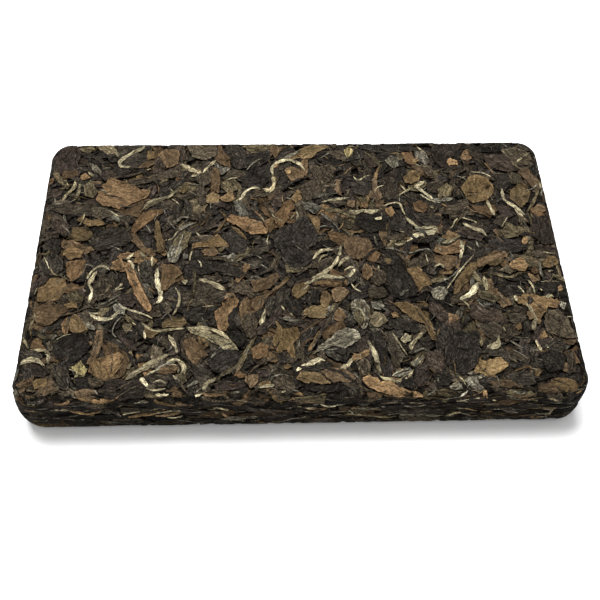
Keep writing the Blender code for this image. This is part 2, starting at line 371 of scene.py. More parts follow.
LEAF_THICKNESS = 0.3
LEAF_SPRING = 0.42  # how far its spring holds it clear of what lies below
DRAPE_PASSES = 8
LEAST_CELLS = 4  # a leaf with fewer on the map lies off it
WAVE = 0.16  # the height of its waves
GRAIN_RANGE = 800.0  # each leaf's grain is cut from somewhere along this length
CORNER_EASE = 0.5
BITE_LENGTH = 3.2  # the torn edge has bites about this long and deep, and a finer fray on them
BITE_DEPTH = 0.3
FRAY_DEPTH = 0.12
BLADE_STATIONS = 7


def divided(corners, step):
    """A closed outline with points added so that none are much more than a step apart."""
    points = []
    for a, b in zip(corners, np.roll(corners, -1, 0)):
        parts = max(1, int(round(np.linalg.norm(b - a) / step)))
        points.append(a + (b - a) * (np.arange(parts) / parts)[:, None])
    return np.concatenate(points)


def ragged(corners, step):
    """An outline with its corners just eased and its edges broken up, in torn bites and a fine fray."""
    corners = np.asarray(corners, float)
    before = corners - np.roll(corners, 1, 0)
    after = np.roll(corners, -1, 0) - corners
    eased = []
    for corner, a, b in zip(corners, before, after):
        for way, side in ((-1, a), (1, b)):
            length = max(np.linalg.norm(side), 1e-6)
            eased.append(corner + way * side / length * min(CORNER_EASE, 0.25 * length))
    bitten = divided(np.array(eased), BITE_LENGTH)
    bitten += random.normal(0.0, BITE_DEPTH, bitten.shape)
    frayed = divided(bitten, step)
    return frayed + random.normal(0.0, FRAY_DEPTH, frayed.shape)


def blade(length, width, start, end, bend, tooth):
    """Corners of a leaf blade between two stations of its length, lying along u about the origin."""
    t = np.linspace(0.0, 1.0, BLADE_STATIONS)
    half = np.sin(math.pi * (start + (end - start) * t)) ** 0.75 * width / 2
    upper_side = half * random.uniform(0.75, 1.1, BLADE_STATIONS)
    lower_side = -half * random.uniform(0.75, 1.1, BLADE_STATIONS)
    u = (t - 0.5) * length
    middle = bend * length * ((2 * t - 1) ** 2 - 0.33)
    side_a = np.column_stack([u + random.normal(0, tooth, BLADE_STATIONS), middle + upper_side])
    side_b = np.column_stack([u + random.normal(0, tooth, BLADE_STATIONS), middle + lower_side])[::-1]
    return np.concatenate([side_a, side_b])


def turned(points, angle):
    c, s = math.cos(angle), math.sin(angle)
    return points @ np.array([[c, s], [-s, c]])


def contains(outline, points):
    """Which points lie inside a closed outline, by counting the edges to one side."""
    a = outline
    b = np.roll(outline, -1, 0)
    span = (a[:, 1] > points[:, 1:]) != (b[:, 1] > points[:, 1:])
    rise = np.where(b[:, 1] == a[:, 1], 1e-12, b[:, 1] - a[:, 1])
    cross = a[:, 0] + (points[:, 1:] - a[:, 1]) * (b[:, 0] - a[:, 0]) / rise
    return ((points[:, :1] < cross) & span).sum(1) % 2 == 1


def meshed(outline, spread):
    """A flat mesh of triangles inside an outline, with points about a spread apart."""
    low = outline.min(0) - 2 * CELL
    high = outline.max(0) + 2 * CELL
    rows = [np.arange(a, b, spread) for a, b in zip(low, high)]
    grid = np.stack(np.meshgrid(*rows, indexing="ij"), -1).reshape(-1, 2)
    grid = grid + random.uniform(-0.3, 0.3, grid.shape) * spread
    grid = grid[contains(outline, grid)]
    if len(grid):
        gap = np.linalg.norm(grid[:, None] - outline[None], axis=2).min(1)
        grid = grid[gap > spread * 0.5]
    flat = np.concatenate([outline, grid])
    ring = [(n, (n + 1) % len(outline)) for n in range(len(outline))]
    made = delaunay_2d_cdt([Vector(p) for p in flat], ring, [], 1, 1e-4)
    return np.array([(p.x, p.y) for p in made[0]]), np.array([f for f in made[2] if len(f) == 3])


def lay_leaf(pile, outline, kind, tone, spread, fold):
    """Drapes a leaf of that outline over the pile, folded along its middle by so much."""
    i0, j0 = pile.cells(outline.min(0)[None] - 2 * CELL)[:, 0]
    i1, j1 = pile.cells(outline.max(0)[None] + 2 * CELL)[:, 0] + 1
    if min(i1 - i0, j1 - j0) < LEAST_CELLS:
        return
    window = pile.heights[i0:i1, j0:j1]
    soft = soften(window, DRAPE_PASSES) + LEAF_THICKNESS + LEAF_SPRING
    centre = outline.mean(0)
    _, axes = np.linalg.eigh(np.cov((outline - centre).T))
    grain = math.atan2(axes[1, 1], axes[0, 1])
    width = np.ptp(turned(outline - centre, -grain), axis=0)[1]
    points, triangles = meshed(outline, spread)
    if len(triangles) == 0:
        return
    local = turned(points - centre, -grain)
    along, across = local.T
    # It is folded along its grain. Waves 11 mm long run along it, and waves of 4 mm across it.
    phase = random.uniform(0, 2 * math.pi, 3)
    lift = fold * np.abs(across) / max(width / 2, 1.0)
    lift = lift + WAVE * np.sin(along * 0.55 + phase[0] + 0.5 * np.sin(across * 0.8 + phase[1]))
    lift = lift + WAVE * 0.8 * np.sin(across * 1.5 + phase[2] + 0.25 * along)
    at = pile.cells(points) - np.array([[i0], [j0]])
    z = soft[tuple(np.clip(at, 0, np.array(window.shape)[:, None] - 1))]
    u = pile.low[0] + np.arange(i0, i1) * CELL
    v = pile.low[1] + np.arange(j0, j1) * CELL
    centres = np.stack(np.meshgrid(u, v, indexing="ij"), -1).reshape(-1, 2)
    covered = contains(outline, centres).reshape(window.shape)
    window[covered] = np.maximum(window, soft)[covered]
    uv = local + [random.uniform(0.0, GRAIN_RANGE), 0.0]
    # Its rim gets a painted highlight of up to 60 %, for light caught by a curled edge, or by chance a
    # painted shade of up to 30 %.
    pile.laid.append(dict(kind=kind, tone=np.tile(tone, (len(points), 1)), points=points, z=z, up=lift,
                          triangles=triangles, uv=uv, edge=random.uniform(-0.3, 0.6), below=None))


# --------------------------------------------------
# A roll: everything long and round, which is stalks, curled shreds, rolled leaves and buds. It is
# a lumpy tube along a line, stiffer than a leaf, and its ends are drawn in.
# --------------------------------------------------

ROLL_END = 0.15  # its ends' share of its width
ROLL_TAPER = 0.25  # the share of its length over which an end is drawn in
ROLL_LUMPS = 0.2
ROLL_SUNK = 0.35  # how far its axis stands above the ground, as a share of its half height
ROLL_SKIRT = 0.6  # how far down its sides are made, because the rest is never seen
STIFF_PASSES = 4


def smooth_line(points, step):
    """A smooth line through points, evenly spaced, and the way along it to each of its points."""
    points = np.asarray(points, float)
    padded = np.concatenate([2 * points[:1] - points[1:2], points, 2 * points[-1:] - points[-2:-1]])
    pieces = []
    for n in range(len(points) - 1):
        a, b, c, d = padded[n:n + 4]
        parts = max(2, int(np.linalg.norm(c - b) / step * 3))
        t = (np.arange(parts) / parts)[:, None]
        pieces.append(0.5 * (2 * b + (c - a) * t + (2 * a - 5 * b + 4 * c - d) * t ** 2
                             + (3 * b - a - 3 * c + d) * t ** 3))
    line = np.concatenate(pieces + [points[-1:]])
    along = np.concatenate([[0.0], np.cumsum(np.linalg.norm(np.diff(line, axis=0), axis=1))])
    even = np.linspace(0.0, along[-1], max(5, int(along[-1] / step)))
    return np.column_stack([np.interp(even, along, line[:, n]) for n in (0, 1)]), even


def tube(count, sides):
    """Triangles of a tube of rings with that many sides, closed to a point at each end."""
    ring = np.arange(sides)
    ahead = np.roll(ring, -1)
    bands = []
    for start in range(0, (count - 1) * sides, sides):
        bands.append(np.column_stack([start + ring, start + ahead, start + ahead + sides]))
        bands.append(np.column_stack([start + ring, start + ahead + sides, start + ring + sides]))
    last = (count - 1) * sides
    bands.append(np.column_stack([np.full(sides, last + sides), ahead, ring]))
    bands.append(np.column_stack([np.full(sides, last + sides + 1), last + ring, last + ahead]))
    return np.concatenate(bands)


def lay_roll(pile, points, half_width, half_height, kind, tone, sides=8, below=None, step=0.9):
    """Lays a roll along a line, on the pile or else at a depth below the wall."""
    line, along = smooth_line(points, step)
    t = along / along[-1]
    drawn_in = np.minimum(1.0, ROLL_END + (1 - ROLL_END) * np.minimum(t, 1 - t) / ROLL_TAPER)
    # Its lumps are some 9 and 3 mm long, and its changes of shade some 14 and 5 mm.
    lumps = np.sin(along * 0.7 + random.uniform(0, 6)) + 0.6 * np.sin(along * 1.9 + random.uniform(0, 6))
    profile = np.sin(drawn_in * math.pi / 2) * (1 + ROLL_LUMPS * lumps)
    ahead = np.gradient(line, axis=0)
    ahead /= np.maximum(np.linalg.norm(ahead, axis=1), 1e-9)[:, None]
    aside = np.column_stack([-ahead[:, 1], ahead[:, 0]])
    ground = pile.read(line)
    for _ in range(STIFF_PASSES):
        average = np.convolve(np.pad(ground, 2, mode="edge"), np.ones(5) / 5, "valid")
        ground = np.maximum(ground, average)
    angle = np.arange(sides) * 2 * math.pi / sides
    across = np.cos(angle)[None, :] * profile[:, None] * half_width
    up = np.sin(angle)[None, :] * profile[:, None] * half_height
    rings = line[:, None, :] + aside[:, None, :] * across[..., None]

    def with_ends(values):
        """Values of each ring given to all its points, and then to the tube's two end points."""
        return np.concatenate([np.repeat(values, sides), values[:1], values[-1:]])

    flat = np.concatenate([rings.reshape(-1, 2), line[:1], line[-1:]])
    lifts = np.concatenate([up.reshape(-1), [0.0, 0.0]])
    girth = np.concatenate([np.tile(angle * max(half_width, half_height), len(line)), [0.0, 0.0]])
    uv = np.column_stack([with_ends(along), girth]) + [random.uniform(0.0, GRAIN_RANGE), 0.0]
    slow = np.sin(along * 0.45 + random.uniform(0, 6))
    quick = np.sin(along * 1.3 + random.uniform(0, 6))
    shade = with_ends(1 + 0.22 * slow + 0.12 * quick)
    triangles = tube(len(line), sides)
    triangles = triangles[(lifts[triangles] > -ROLL_SKIRT * half_height).all(1)]
    pile.laid.append(dict(kind=kind, tone=shade[:, None] * tone, points=flat, up=lifts, uv=uv,
                          z=with_ends(ground + half_height * ROLL_SUNK), triangles=triangles,
                          edge=None, below=below))
    if below is None:
        for share in (-0.7, 0.0, 0.7):
            cells = tuple(pile.cells(line + aside * (share * half_width * profile)[:, None]))
            crest = ground + half_height * (ROLL_SUNK + math.sqrt(1 - share ** 2))
            np.maximum.at(pile.heights, cells, crest)


# --------------------------------------------------
# The press: the steamed pile is squeezed against the wall until it is nearly flat, and its low
# places stay a little below the surface. What is buried under other leaves isn't made.
# --------------------------------------------------

PRESS_REACH = 4.0  # the pile is made level over about this distance
PRESS_LEVEL = 0.45  # how far below the wall its average surface comes
PRESS_RELIEF = 0.85  # the share of its relief that it keeps
PRESS_SOFT = 0.16  # how gently its highest leaves are flattened
LEAST_BELOW = 0.03
BURIED = 0.15  # a point is out of sight when all the pile round it stands this much higher
BURIED_CELLS = 3
LONGEST_HANG = 10.0  # how far a leaf may hang over the edge and down the side
DUST_AND_PAINTED_SHADE = 0.3  # how much darker the hollows are painted, for their dust and their shade
DUST_AND_SHADE_FROM = 0.4  # the dust and painted shade start at this depth
COVER_PAINTED_SHADE = 0.85  # how much darker a leaf is painted where others cover it, for their shade
COVER_FROM = 0.2  # the painted shade starts under a cover of this thickness, and grows over this range
COVER_RANGE = 0.5
TORN_EDGE_PAINTED_SHADE = 0.75  # how light the torn edge is painted against the face, for the shade on it

bags = {}


def outer_edges(triangles):
    """The edges that only one triangle has, in that triangle's order."""
    ends = np.concatenate([triangles[:, [0, 1]], triangles[:, [1, 2]], triangles[:, [2, 0]]])
    _, where, count = np.unique(np.sort(ends, axis=1), axis=0, return_index=True, return_counts=True)
    return ends[where[count == 1]]


def press(pile):
    """Presses the pile to the mould, and sorts its leaves into bags, one bag for each piece.

    The pile's top sinks where it is lower than its surroundings, and each leaf keeps its depth below
    that top.
    """
    sunken = (PRESS_LEVEL - pile.heights + blur(pile.heights, PRESS_REACH)) * PRESS_RELIEF
    least = lowest_near(pile.heights, BURIED_CELLS)
    for item in pile.laid:
        points, up = item["points"], item["up"]
        if item["below"] is None:
            at = tuple(pile.cells(points))
            cover = pile.heights[at] - item["z"] - up
            below = LEAST_BELOW + PRESS_SOFT * np.logaddexp(0.0, (sunken[at] + cover) / PRESS_SOFT)
            buried = least[at] - item["z"] - up > BURIED
        else:
            cover = np.zeros(len(points))
            below = np.maximum(item["below"] - up, LEAST_BELOW)
            buried = np.zeros(len(points), bool)
        hanging = pile.turns_down & (past_the_edge(points)[0] > LONGEST_HANG)
        corners = item["triangles"]
        faces = corners[~buried[corners].all(1) & ~hanging[corners].any(1)]
        if len(faces) == 0:
            continue
        place = pile.to_mould(points[:, 0], points[:, 1], below)
        uv = item["uv"]
        # Points deep in the hollows are painted darker, for their dust and their shade.
        dust_and_shade = DUST_AND_PAINTED_SHADE * np.clip(below - DUST_AND_SHADE_FROM, 0.0, 1.0)
        # Points under other leaves are painted dark for their shade, which darkens the leaf below next to
        # their edges.
        painted_cover_shade = COVER_PAINTED_SHADE * np.clip((cover - COVER_FROM) / COVER_RANGE, 0.0, 1.0)
        shade = (1 - dust_and_shade) * (1 - painted_cover_shade)
        tone = item["tone"] * shade[:, None]
        if item["edge"] is not None:
            edge = outer_edges(corners)
            edge = edge[~buried[edge].all(1) & ~hanging[edge].any(1)]
            used, local = np.unique(edge, return_inverse=True)
            local = local.reshape(edge.shape)
            # The rim's painted highlight or painted shade.
            tone[used] *= 1 + item["edge"]
            foot = pile.to_mould(points[used, 0], points[used, 1], below[used] + LEAF_THICKNESS)
            head = len(place) + local
            sole = head + len(used)
            place = np.concatenate([place, place[used], foot])
            uv = np.concatenate([uv, uv[used], uv[used]])
            # The torn edge's wall is painted darker for its shade.
            tone = np.concatenate([tone, tone[used] * TORN_EDGE_PAINTED_SHADE, tone[used] * TORN_EDGE_PAINTED_SHADE])
            faces = np.concatenate([faces, np.column_stack([head[:, 1], head[:, 0], sole[:, 0]]),
                                    np.column_stack([head[:, 1], sole[:, 0], sole[:, 1]])])
        used, number = np.unique(faces, return_inverse=True)
        bag = bags.setdefault(piece_of[item["kind"]], dict(points=[], faces=[], uv=[], tone=[], count=0))
        bag["points"].append(place[used])
        bag["faces"].append(number.reshape(faces.shape) + bag["count"])
        bag["uv"].append(uv[used])
        bag["tone"].append(tone[used])
        bag["count"] += len(used)


# --------------------------------------------------
# Loose tea: leaf pieces of every size as they fall into the mould, the largest first. Rolled
# leaves lie among them, and thin shreds and downy hairs go on afterwards.
# --------------------------------------------------

FILL_SHARES = {"char": 0.5, "umber": 0.24, "plum": 0.1, "brown": 0.08, "ochre": 0.02, "olive": 0.04,
               "grey": 0.02}
# Each coat's gap from leaf to leaf, and the range of its leaves' lengths and widths.
COATS = ((12.0, (22, 38), (10, 18)), (10.0, (14, 28), (6, 12)), (9.0, (7, 17), (3, 7)))
ROLLED_SHARE = 0.22
ROLLED_BEND = 0.25
ROLLED_HALF_WIDTHS = (0.7, 1.7)
ROLLED_HALF_HEIGHTS = (0.35, 0.7)
# A piece is torn from a leaf blade between two shares of its length, bent and cut by so much.
BLADE_STARTS = (0.02, 0.3)
BLADE_ENDS = (0.65, 0.98)
BLADE_BENDS = (-0.12, 0.12)
BLADE_TOOTH = 0.8
LARGEST_FOLD = 0.35
OUTLINE_STEP = 0.75  # the step of a leaf's outline, as a share of the spread of the mesh inside it
STRAND_SHARES = {"straw": 0.05, "grey": 0.4, "ochre": 0.25, "umber": 0.3}
STRAND_LENGTHS = (3.0, 9.0)
STRAND_HALF_WIDTHS = (0.14, 0.34)
STRAND_HALF_HEIGHT = 0.3
STRAND_BEND = 0.06
STRAND_TONE = 0.8
STRAND_TONE_SPREAD = 0.3


def scatter(low, high, gap):
    """Points spread evenly over a rectangle, one in each cell of a grid, in random order."""
    counts = [max(1, int(round((b - a) / gap))) for a, b in zip(low, high)]
    steps = [(b - a) / n for a, b, n in zip(low, high, counts)]
    grid = np.stack(np.meshgrid(*[np.arange(n) for n in counts], indexing="ij"), -1).reshape(-1, 2)
    points = np.array(low) + (grid + random.uniform(0.05, 0.95, grid.shape)) * np.array(steps)
    return random.permutation(points)


def any_kind(shares):
    return str(random.choice(list(shares), p=list(shares.values())))


def bowed(length, bend):
    """A line of that length along u, bent aside at its middle."""
    return np.array([(-length / 2, 0.0), (0.0, bend), (length / 2, 0.0)])


def fill(pile, low, high, spread=1.6, light=ON_TOP, lean=math.pi):
    """Three coats of leaf pieces. Their headings stay within the lean of the plan's length."""
    for gap, lengths, widths in COATS:
        for spot in scatter(low, high, gap):
            heading = random.uniform(-lean, lean)
            kind = any_kind(FILL_SHARES)
            length = random.uniform(*lengths)
            if random.uniform() < ROLLED_SHARE:
                line = bowed(length, random.uniform(-ROLLED_BEND, ROLLED_BEND) * length)
                lay_roll(pile, turned(line, heading) + spot, random.uniform(*ROLLED_HALF_WIDTHS),
                         random.uniform(*ROLLED_HALF_HEIGHTS), kind, tone_of(kind, light=light), sides=7)
                continue
            shape = blade(length, random.uniform(*widths), random.uniform(*BLADE_STARTS),
                          random.uniform(*BLADE_ENDS), random.uniform(*BLADE_BENDS), BLADE_TOOTH)
            outline = turned(ragged(shape, spread * OUTLINE_STEP), heading) + spot
            tone = tone_of(kind, light=light)
            lay_leaf(pile, outline, kind, tone, spread, random.uniform(-LARGEST_FOLD, LARGEST_FOLD))


def strands(pile, low, high, gap, light=ON_TOP, lean=math.pi):
    """Thin shreds and downy hairs, on average so far apart."""
    for spot in scatter(low, high, gap):
        kind = any_kind(STRAND_SHARES)
        length = random.uniform(*STRAND_LENGTHS)
        line = bowed(length, random.uniform(-STRAND_BEND, STRAND_BEND) * lean * length)
        line = turned(line, random.uniform(-lean, lean)) + spot
        tone = tone_of(kind, STRAND_TONE_SPREAD, light) * STRAND_TONE
        lay_roll(pile, line, random.uniform(*STRAND_HALF_WIDTHS), STRAND_HALF_HEIGHT, kind, tone, sides=5)


# --------------------------------------------------
# The camera stands in front of the brick and looks down on it. It comes before the listed leaves, because
# their places are camera spots: x to the right and y down in a square frame.
# --------------------------------------------------

MM = 0.001  # a millimetre in metres
FRAME_SIDE = 600.0  # camera spots run from 0 to this
CAMERA_LENS = 54.0
CAMERA_SENSOR = 36.0
CAMERA_ELEVATION = math.radians(55.8)
CAMERA_YAW = math.radians(2.9)
CAMERA_ROLL = math.radians(1.7)
CAMERA_DISTANCE = 445.0
CAMERA_TARGET = (0.7, -6.3, 0.0)

look = np.array([math.sin(CAMERA_YAW) * math.cos(CAMERA_ELEVATION),
                 math.cos(CAMERA_YAW) * math.cos(CAMERA_ELEVATION),
                 -math.sin(CAMERA_ELEVATION)])
level = np.array([math.cos(CAMERA_YAW), -math.sin(CAMERA_YAW), 0.0])
upward = np.cross(level, look)
right = level * math.cos(CAMERA_ROLL) + upward * math.sin(CAMERA_ROLL)
upward = upward * math.cos(CAMERA_ROLL) - level * math.sin(CAMERA_ROLL)
eye = np.array(CAMERA_TARGET) - look * CAMERA_DISTANCE

camera = bpy.data.objects.new("camera", bpy.data.cameras.new("camera"))
camera.data.lens = CAMERA_LENS
camera.data.sensor_width = CAMERA_SENSOR
camera.data.clip_start = 0.01
camera.matrix_world = Matrix(((right[0], upward[0], -look[0], eye[0] * MM),
                              (right[1], upward[1], -look[1], eye[1] * MM),
                              (right[2], upward[2], -look[2], eye[2] * MM),
                              (0.0, 0.0, 0.0, 1.0)))
bpy.context.scene.collection.objects.link(camera)
bpy.context.scene.camera = camera


def rays_through(spots):
    """Directions from the camera through camera spots."""
    focal = CAMERA_LENS / CAMERA_SENSOR * FRAME_SIDE
    offset = (np.asarray(spots, float) - FRAME_SIDE / 2) / focal
    return look + offset[:, :1] * right - offset[:, 1:] * upward


# --------------------------------------------------
# The upper face: loose tea below, and on it the leaves, stalks and curls that lie in sight, laid one by one.
# Each line is one of them, in the order laid: its kind, with + for a lighter one and - for a darker one, and
# its corners. With ~ it is a roll of that half width along a line of spots.
# --------------------------------------------------

LIGHTER = 1.22  # how much lighter + makes a leaf, and how much darker - does
HAND_SPREAD = 1.3
HAND_STEP = 1.1
HAND_FOLD = 0.3
# A roll's shaded flanks count in its width. These are the shares of that width that are made.
STALK_WIDTH = 0.93
ROLL_WIDTH = 0.85
HIGHEST_ROLL = 0.7
HAND_TONE_SPREAD = 0.1
AXIS_DEPTH = 0.75  # a roll on the side has its axis this share of its half height inside the wall
MAP_MARGIN = 20.0
FILL_MARGIN = 5.0
# Gaps from strand to strand, for those below and those above the listed leaves.
LOWER_STRAND_GAP = 9.0
UPPER_STRAND_GAP = 11.0


def on_top(spots):
    """Where camera spots fall on the brick's upper face."""
    rays = rays_through(spots)
    return (eye + rays * (HEIGHT - eye[2]) / rays[:, 2:])[:, :2]


def one_by_one(region):
    """The words of each leaf in a region. Its first one has a letter first, and a leaf may take two lines."""
    leaves = []
    for word in region.split():
        if word[0].isalpha():
            leaves.append([])
        leaves[-1].append(word)
    return leaves


def lay_by_hand(pile, on_wall, region, light=ON_TOP, depth=None):
    """Lays a region's leaves at their own places. With a depth, rolls are set in the side, that high."""
    for head, *spots in one_by_one(region):
        kind, _, half_width = head.partition("~")
        shade = LIGHTER ** (kind.endswith("+") - kind.endswith("-"))
        kind = kind.rstrip("+-")
        tone = tone_of(kind, HAND_TONE_SPREAD, light) * shade
        points = on_wall([[float(number) for number in spot.split(",")] for spot in spots])
        if half_width:
            half_width = float(half_width) * (STALK_WIDTH if piece_of[kind] == "stalk" else ROLL_WIDTH)
            half_height = depth or min(half_width, HIGHEST_ROLL)
            below = depth and depth * AXIS_DEPTH
            lay_roll(pile, points, half_width, half_height, kind, tone, below=below)
        else:
            outline = ragged(points, HAND_STEP)
            lay_leaf(pile, outline, kind, tone, HAND_SPREAD, random.uniform(-HAND_FOLD, HAND_FOLD))


PALE_CURLS = """
straw~1.1 144,143 143,148 136,151 127,156 120,161 121,166 127,167 131,166
pale~1.5 180,163 186,167 193,170 202,173
pale-~0.8 202,173 209,166 216,160
straw~0.7 191,176 197,175
pale~0.8 233,202 241,198 246,191 254,187 262,188
pale~1.2 262,188 270,190 274,184 273,176
straw~1.0 273,176 272,168 276,163 284,160 292,160 300,164 305,171
"""

UPPER_LEFT = """
plum 54,160 60,148 72,144 84,150 78,162 80,176 68,178 56,170
brown- 60,172 78,170 77,176 64,179
olive 82,145 92,144 95,150 88,153 81,150
char~1.4 79,153 92,155 104,163 112,166
char~1.2 86,158 97,163 105,174
olive+ 96,145 110,143 118,151 112,155 100,151
char 118,145 150,143 154,158 142,168 124,169 118,158
straw~0.7 110,147 116,152 118,157
grey- 88,162 96,164 102,174 94,172
brown 137,168 146,160 156,152 150,145 160,143 166,149 158,160 148,167
ochre 147,150 155,151 154,158 148,158
plum+ 150,172 157,158 166,144 184,144 186,158 179,168 179,175 162,176
brown 158,154 166,149 180,150 179,163 166,168
umber 124,181 142,177 160,174 179,170 179,176 160,180 142,184 130,185
umber-~0.8 104,177 120,177 138,173 151,169
straw~0.4 147,170 151,168
plum 99,175 108,170 112,178 104,180
brown 112,208 124,207 140,199 146,204 141,214 136,217 122,214
brown+ 96,200 97,192 104,190 102,184 110,177 120,180 126,181 140,189 151,190 146,197 136,202 120,208 104,206
umber-~0.3 104,194 113,195 121,198
olive 84,186 92,180 97,190 93,197 85,195
straw~0.9 75,179 74,187 67,194 62,201
straw-~0.9 81,180 79,189 77,197
ochre 80,175 86,172 89,177 82,179
straw~0.7 88,171 91,174 94,176
olive-~0.7 58,189 66,187 73,183
grey-~0.7 53,204 62,203 72,201
umber+ 50,210 66,203 84,204 97,204 98,210 92,215 78,216 62,214
umber 92,206 108,208 110,216 100,220 92,217
char~1.3 82,214 70,216 64,221 71,226 84,224
grey-~0.7 64,214 65,221 70,226
plum+ 52,214 60,215 70,226 66,236 56,232 50,226
ochre 76,219 84,216 92,220 102,219 105,224 90,226 81,223
ochre- 72,227 88,226 93,233 88,240 76,240 70,236
brown 63,238 76,241 92,246 95,250 84,254 66,251 61,245
char 93,240 100,232 110,226 126,228 133,238 126,245 112,248 96,250 89,244
umber~0.9 125,216 126,222 128,229
grey 112,214 118,216 120,222 112,219
straw~0.4 109,209 115,214 122,217
brown 131,230 137,216 143,211 152,210 163,209 163,213 150,221 140,229 134,233
brown 130,233 136,234 146,247 149,252 143,251 134,242
ochre- 156,219 160,222 164,246 164,252 158,251 154,236
olive 143,211 148,203 156,200 168,197 160,202 150,207
straw-~0.8 143,209 148,203 157,199 167,197 178,190
ochre 179,190 188,183 187,190 182,193
straw~0.3 171,197 175,200 179,204
grey~0.35 161,203 163,208 167,217
grey~1.0 176,222 181,217 190,217
grey-~0.9 178,229 186,226 194,222
straw~0.4 164,240 172,238 178,231 184,228
olive+ 174,240 184,230 192,233 188,244 178,257 170,259 172,247
grey~0.6 183,233 180,243 174,256
"""

UPPER_MIDDLE = """
umber 190,145 204,143 217,144 218,156 206,160 192,157
char 224,143 241,143 244,150 251,158 246,167 236,170 230,160 226,150
brown 216,144 220,144 224,150 230,158 230,168 222,164 214,160 218,154
olive 242,146 250,143 270,143 271,148 262,152 252,153 246,149
brown 270,144 276,145 280,152 276,158 270,152
char 245,156 262,151 271,152 268,160 258,166 248,168
char 240,186 244,174 252,168 264,165 271,160 270,178 262,186 250,186
grey-~0.6 246,170 254,162 262,158
ochre- 283,158 300,148 314,144 331,146 318,152 310,158 296,158 288,160
grey-~0.9 281,159 291,155 300,150
umber 196,172 204,167 212,172 211,182 202,186 196,180
brown- 212,166 218,168 220,180 219,192 213,190 211,178
umber+ 221,176 232,169 243,171 246,175 238,178 226,180
olive 222,180 236,180 240,188 230,194 222,188
olive+~0.9 233,180 240,186 238,196 233,201
straw-~0.5 226,180 232,178 238,178
ochre 218,197 232,191 235,200 224,201
ochre+ 206,202 206,195 214,192 220,194 217,202 212,204
straw~0.3 226,187 228,190
brown 285,168 293,166 303,170 303,178 292,181 287,174
ochre+ 286,171 290,169 291,173 287,174
brown 300,160 308,158 308,168 305,176 300,168
char~1.0 280,192 290,183 302,178
umber 302,184 310,180 320,182 327,192 318,198 306,200 300,192
umber+ 309,165 320,166 330,164 336,170 330,180 322,184 312,172
plum 272,206 274,194 286,192 292,199 282,206
brown- 268,195 273,193 274,198 269,200
ochre 290,198 300,189 302,197 296,203
brown 275,215 284,202 291,198 295,206 289,217 280,229 276,223
ochre- 268,231 270,219 274,216 274,226 270,233
grey-~0.8 312,198 326,194 338,193
grey 300,202 312,201 323,206 317,213 306,210
straw-~0.8 320,202 334,199 350,197
grey-~0.9 320,212 328,218 333,222
straw~0.5 296,210 298,215 296,219
straw-~0.4 290,219 295,213
ochre- 308,213 320,216 320,226 318,233 312,224
char 272,236 280,228 292,222 305,214 315,228 319,238 306,252 292,256 280,250 274,244
char 280,245 292,240 306,244 314,256 300,270 284,262
brown+ 226,219 231,213 240,216 252,219 262,222 269,230 266,234 252,235 242,228 234,224
ochre-~0.7 219,210 226,217 220,227 213,232
brown-~0.6 254,210 262,218 269,230
straw~0.4 259,213 265,222
char 220,234 228,230 240,232 250,240 246,252 232,254 222,244
ochre-~1.0 230,225 238,230 247,239
ochre 192,248 193,243 210,240 218,232 224,240 229,246 210,247
straw~0.5 195,231 200,236
umber 198,212 208,216 216,222 210,230 200,228
straw~1.0 313,259 319,251 326,249 334,250
straw-~0.6 318,262 322,256 328,254
brown 328,231 338,232 350,237 350,248 340,246 330,240
"""

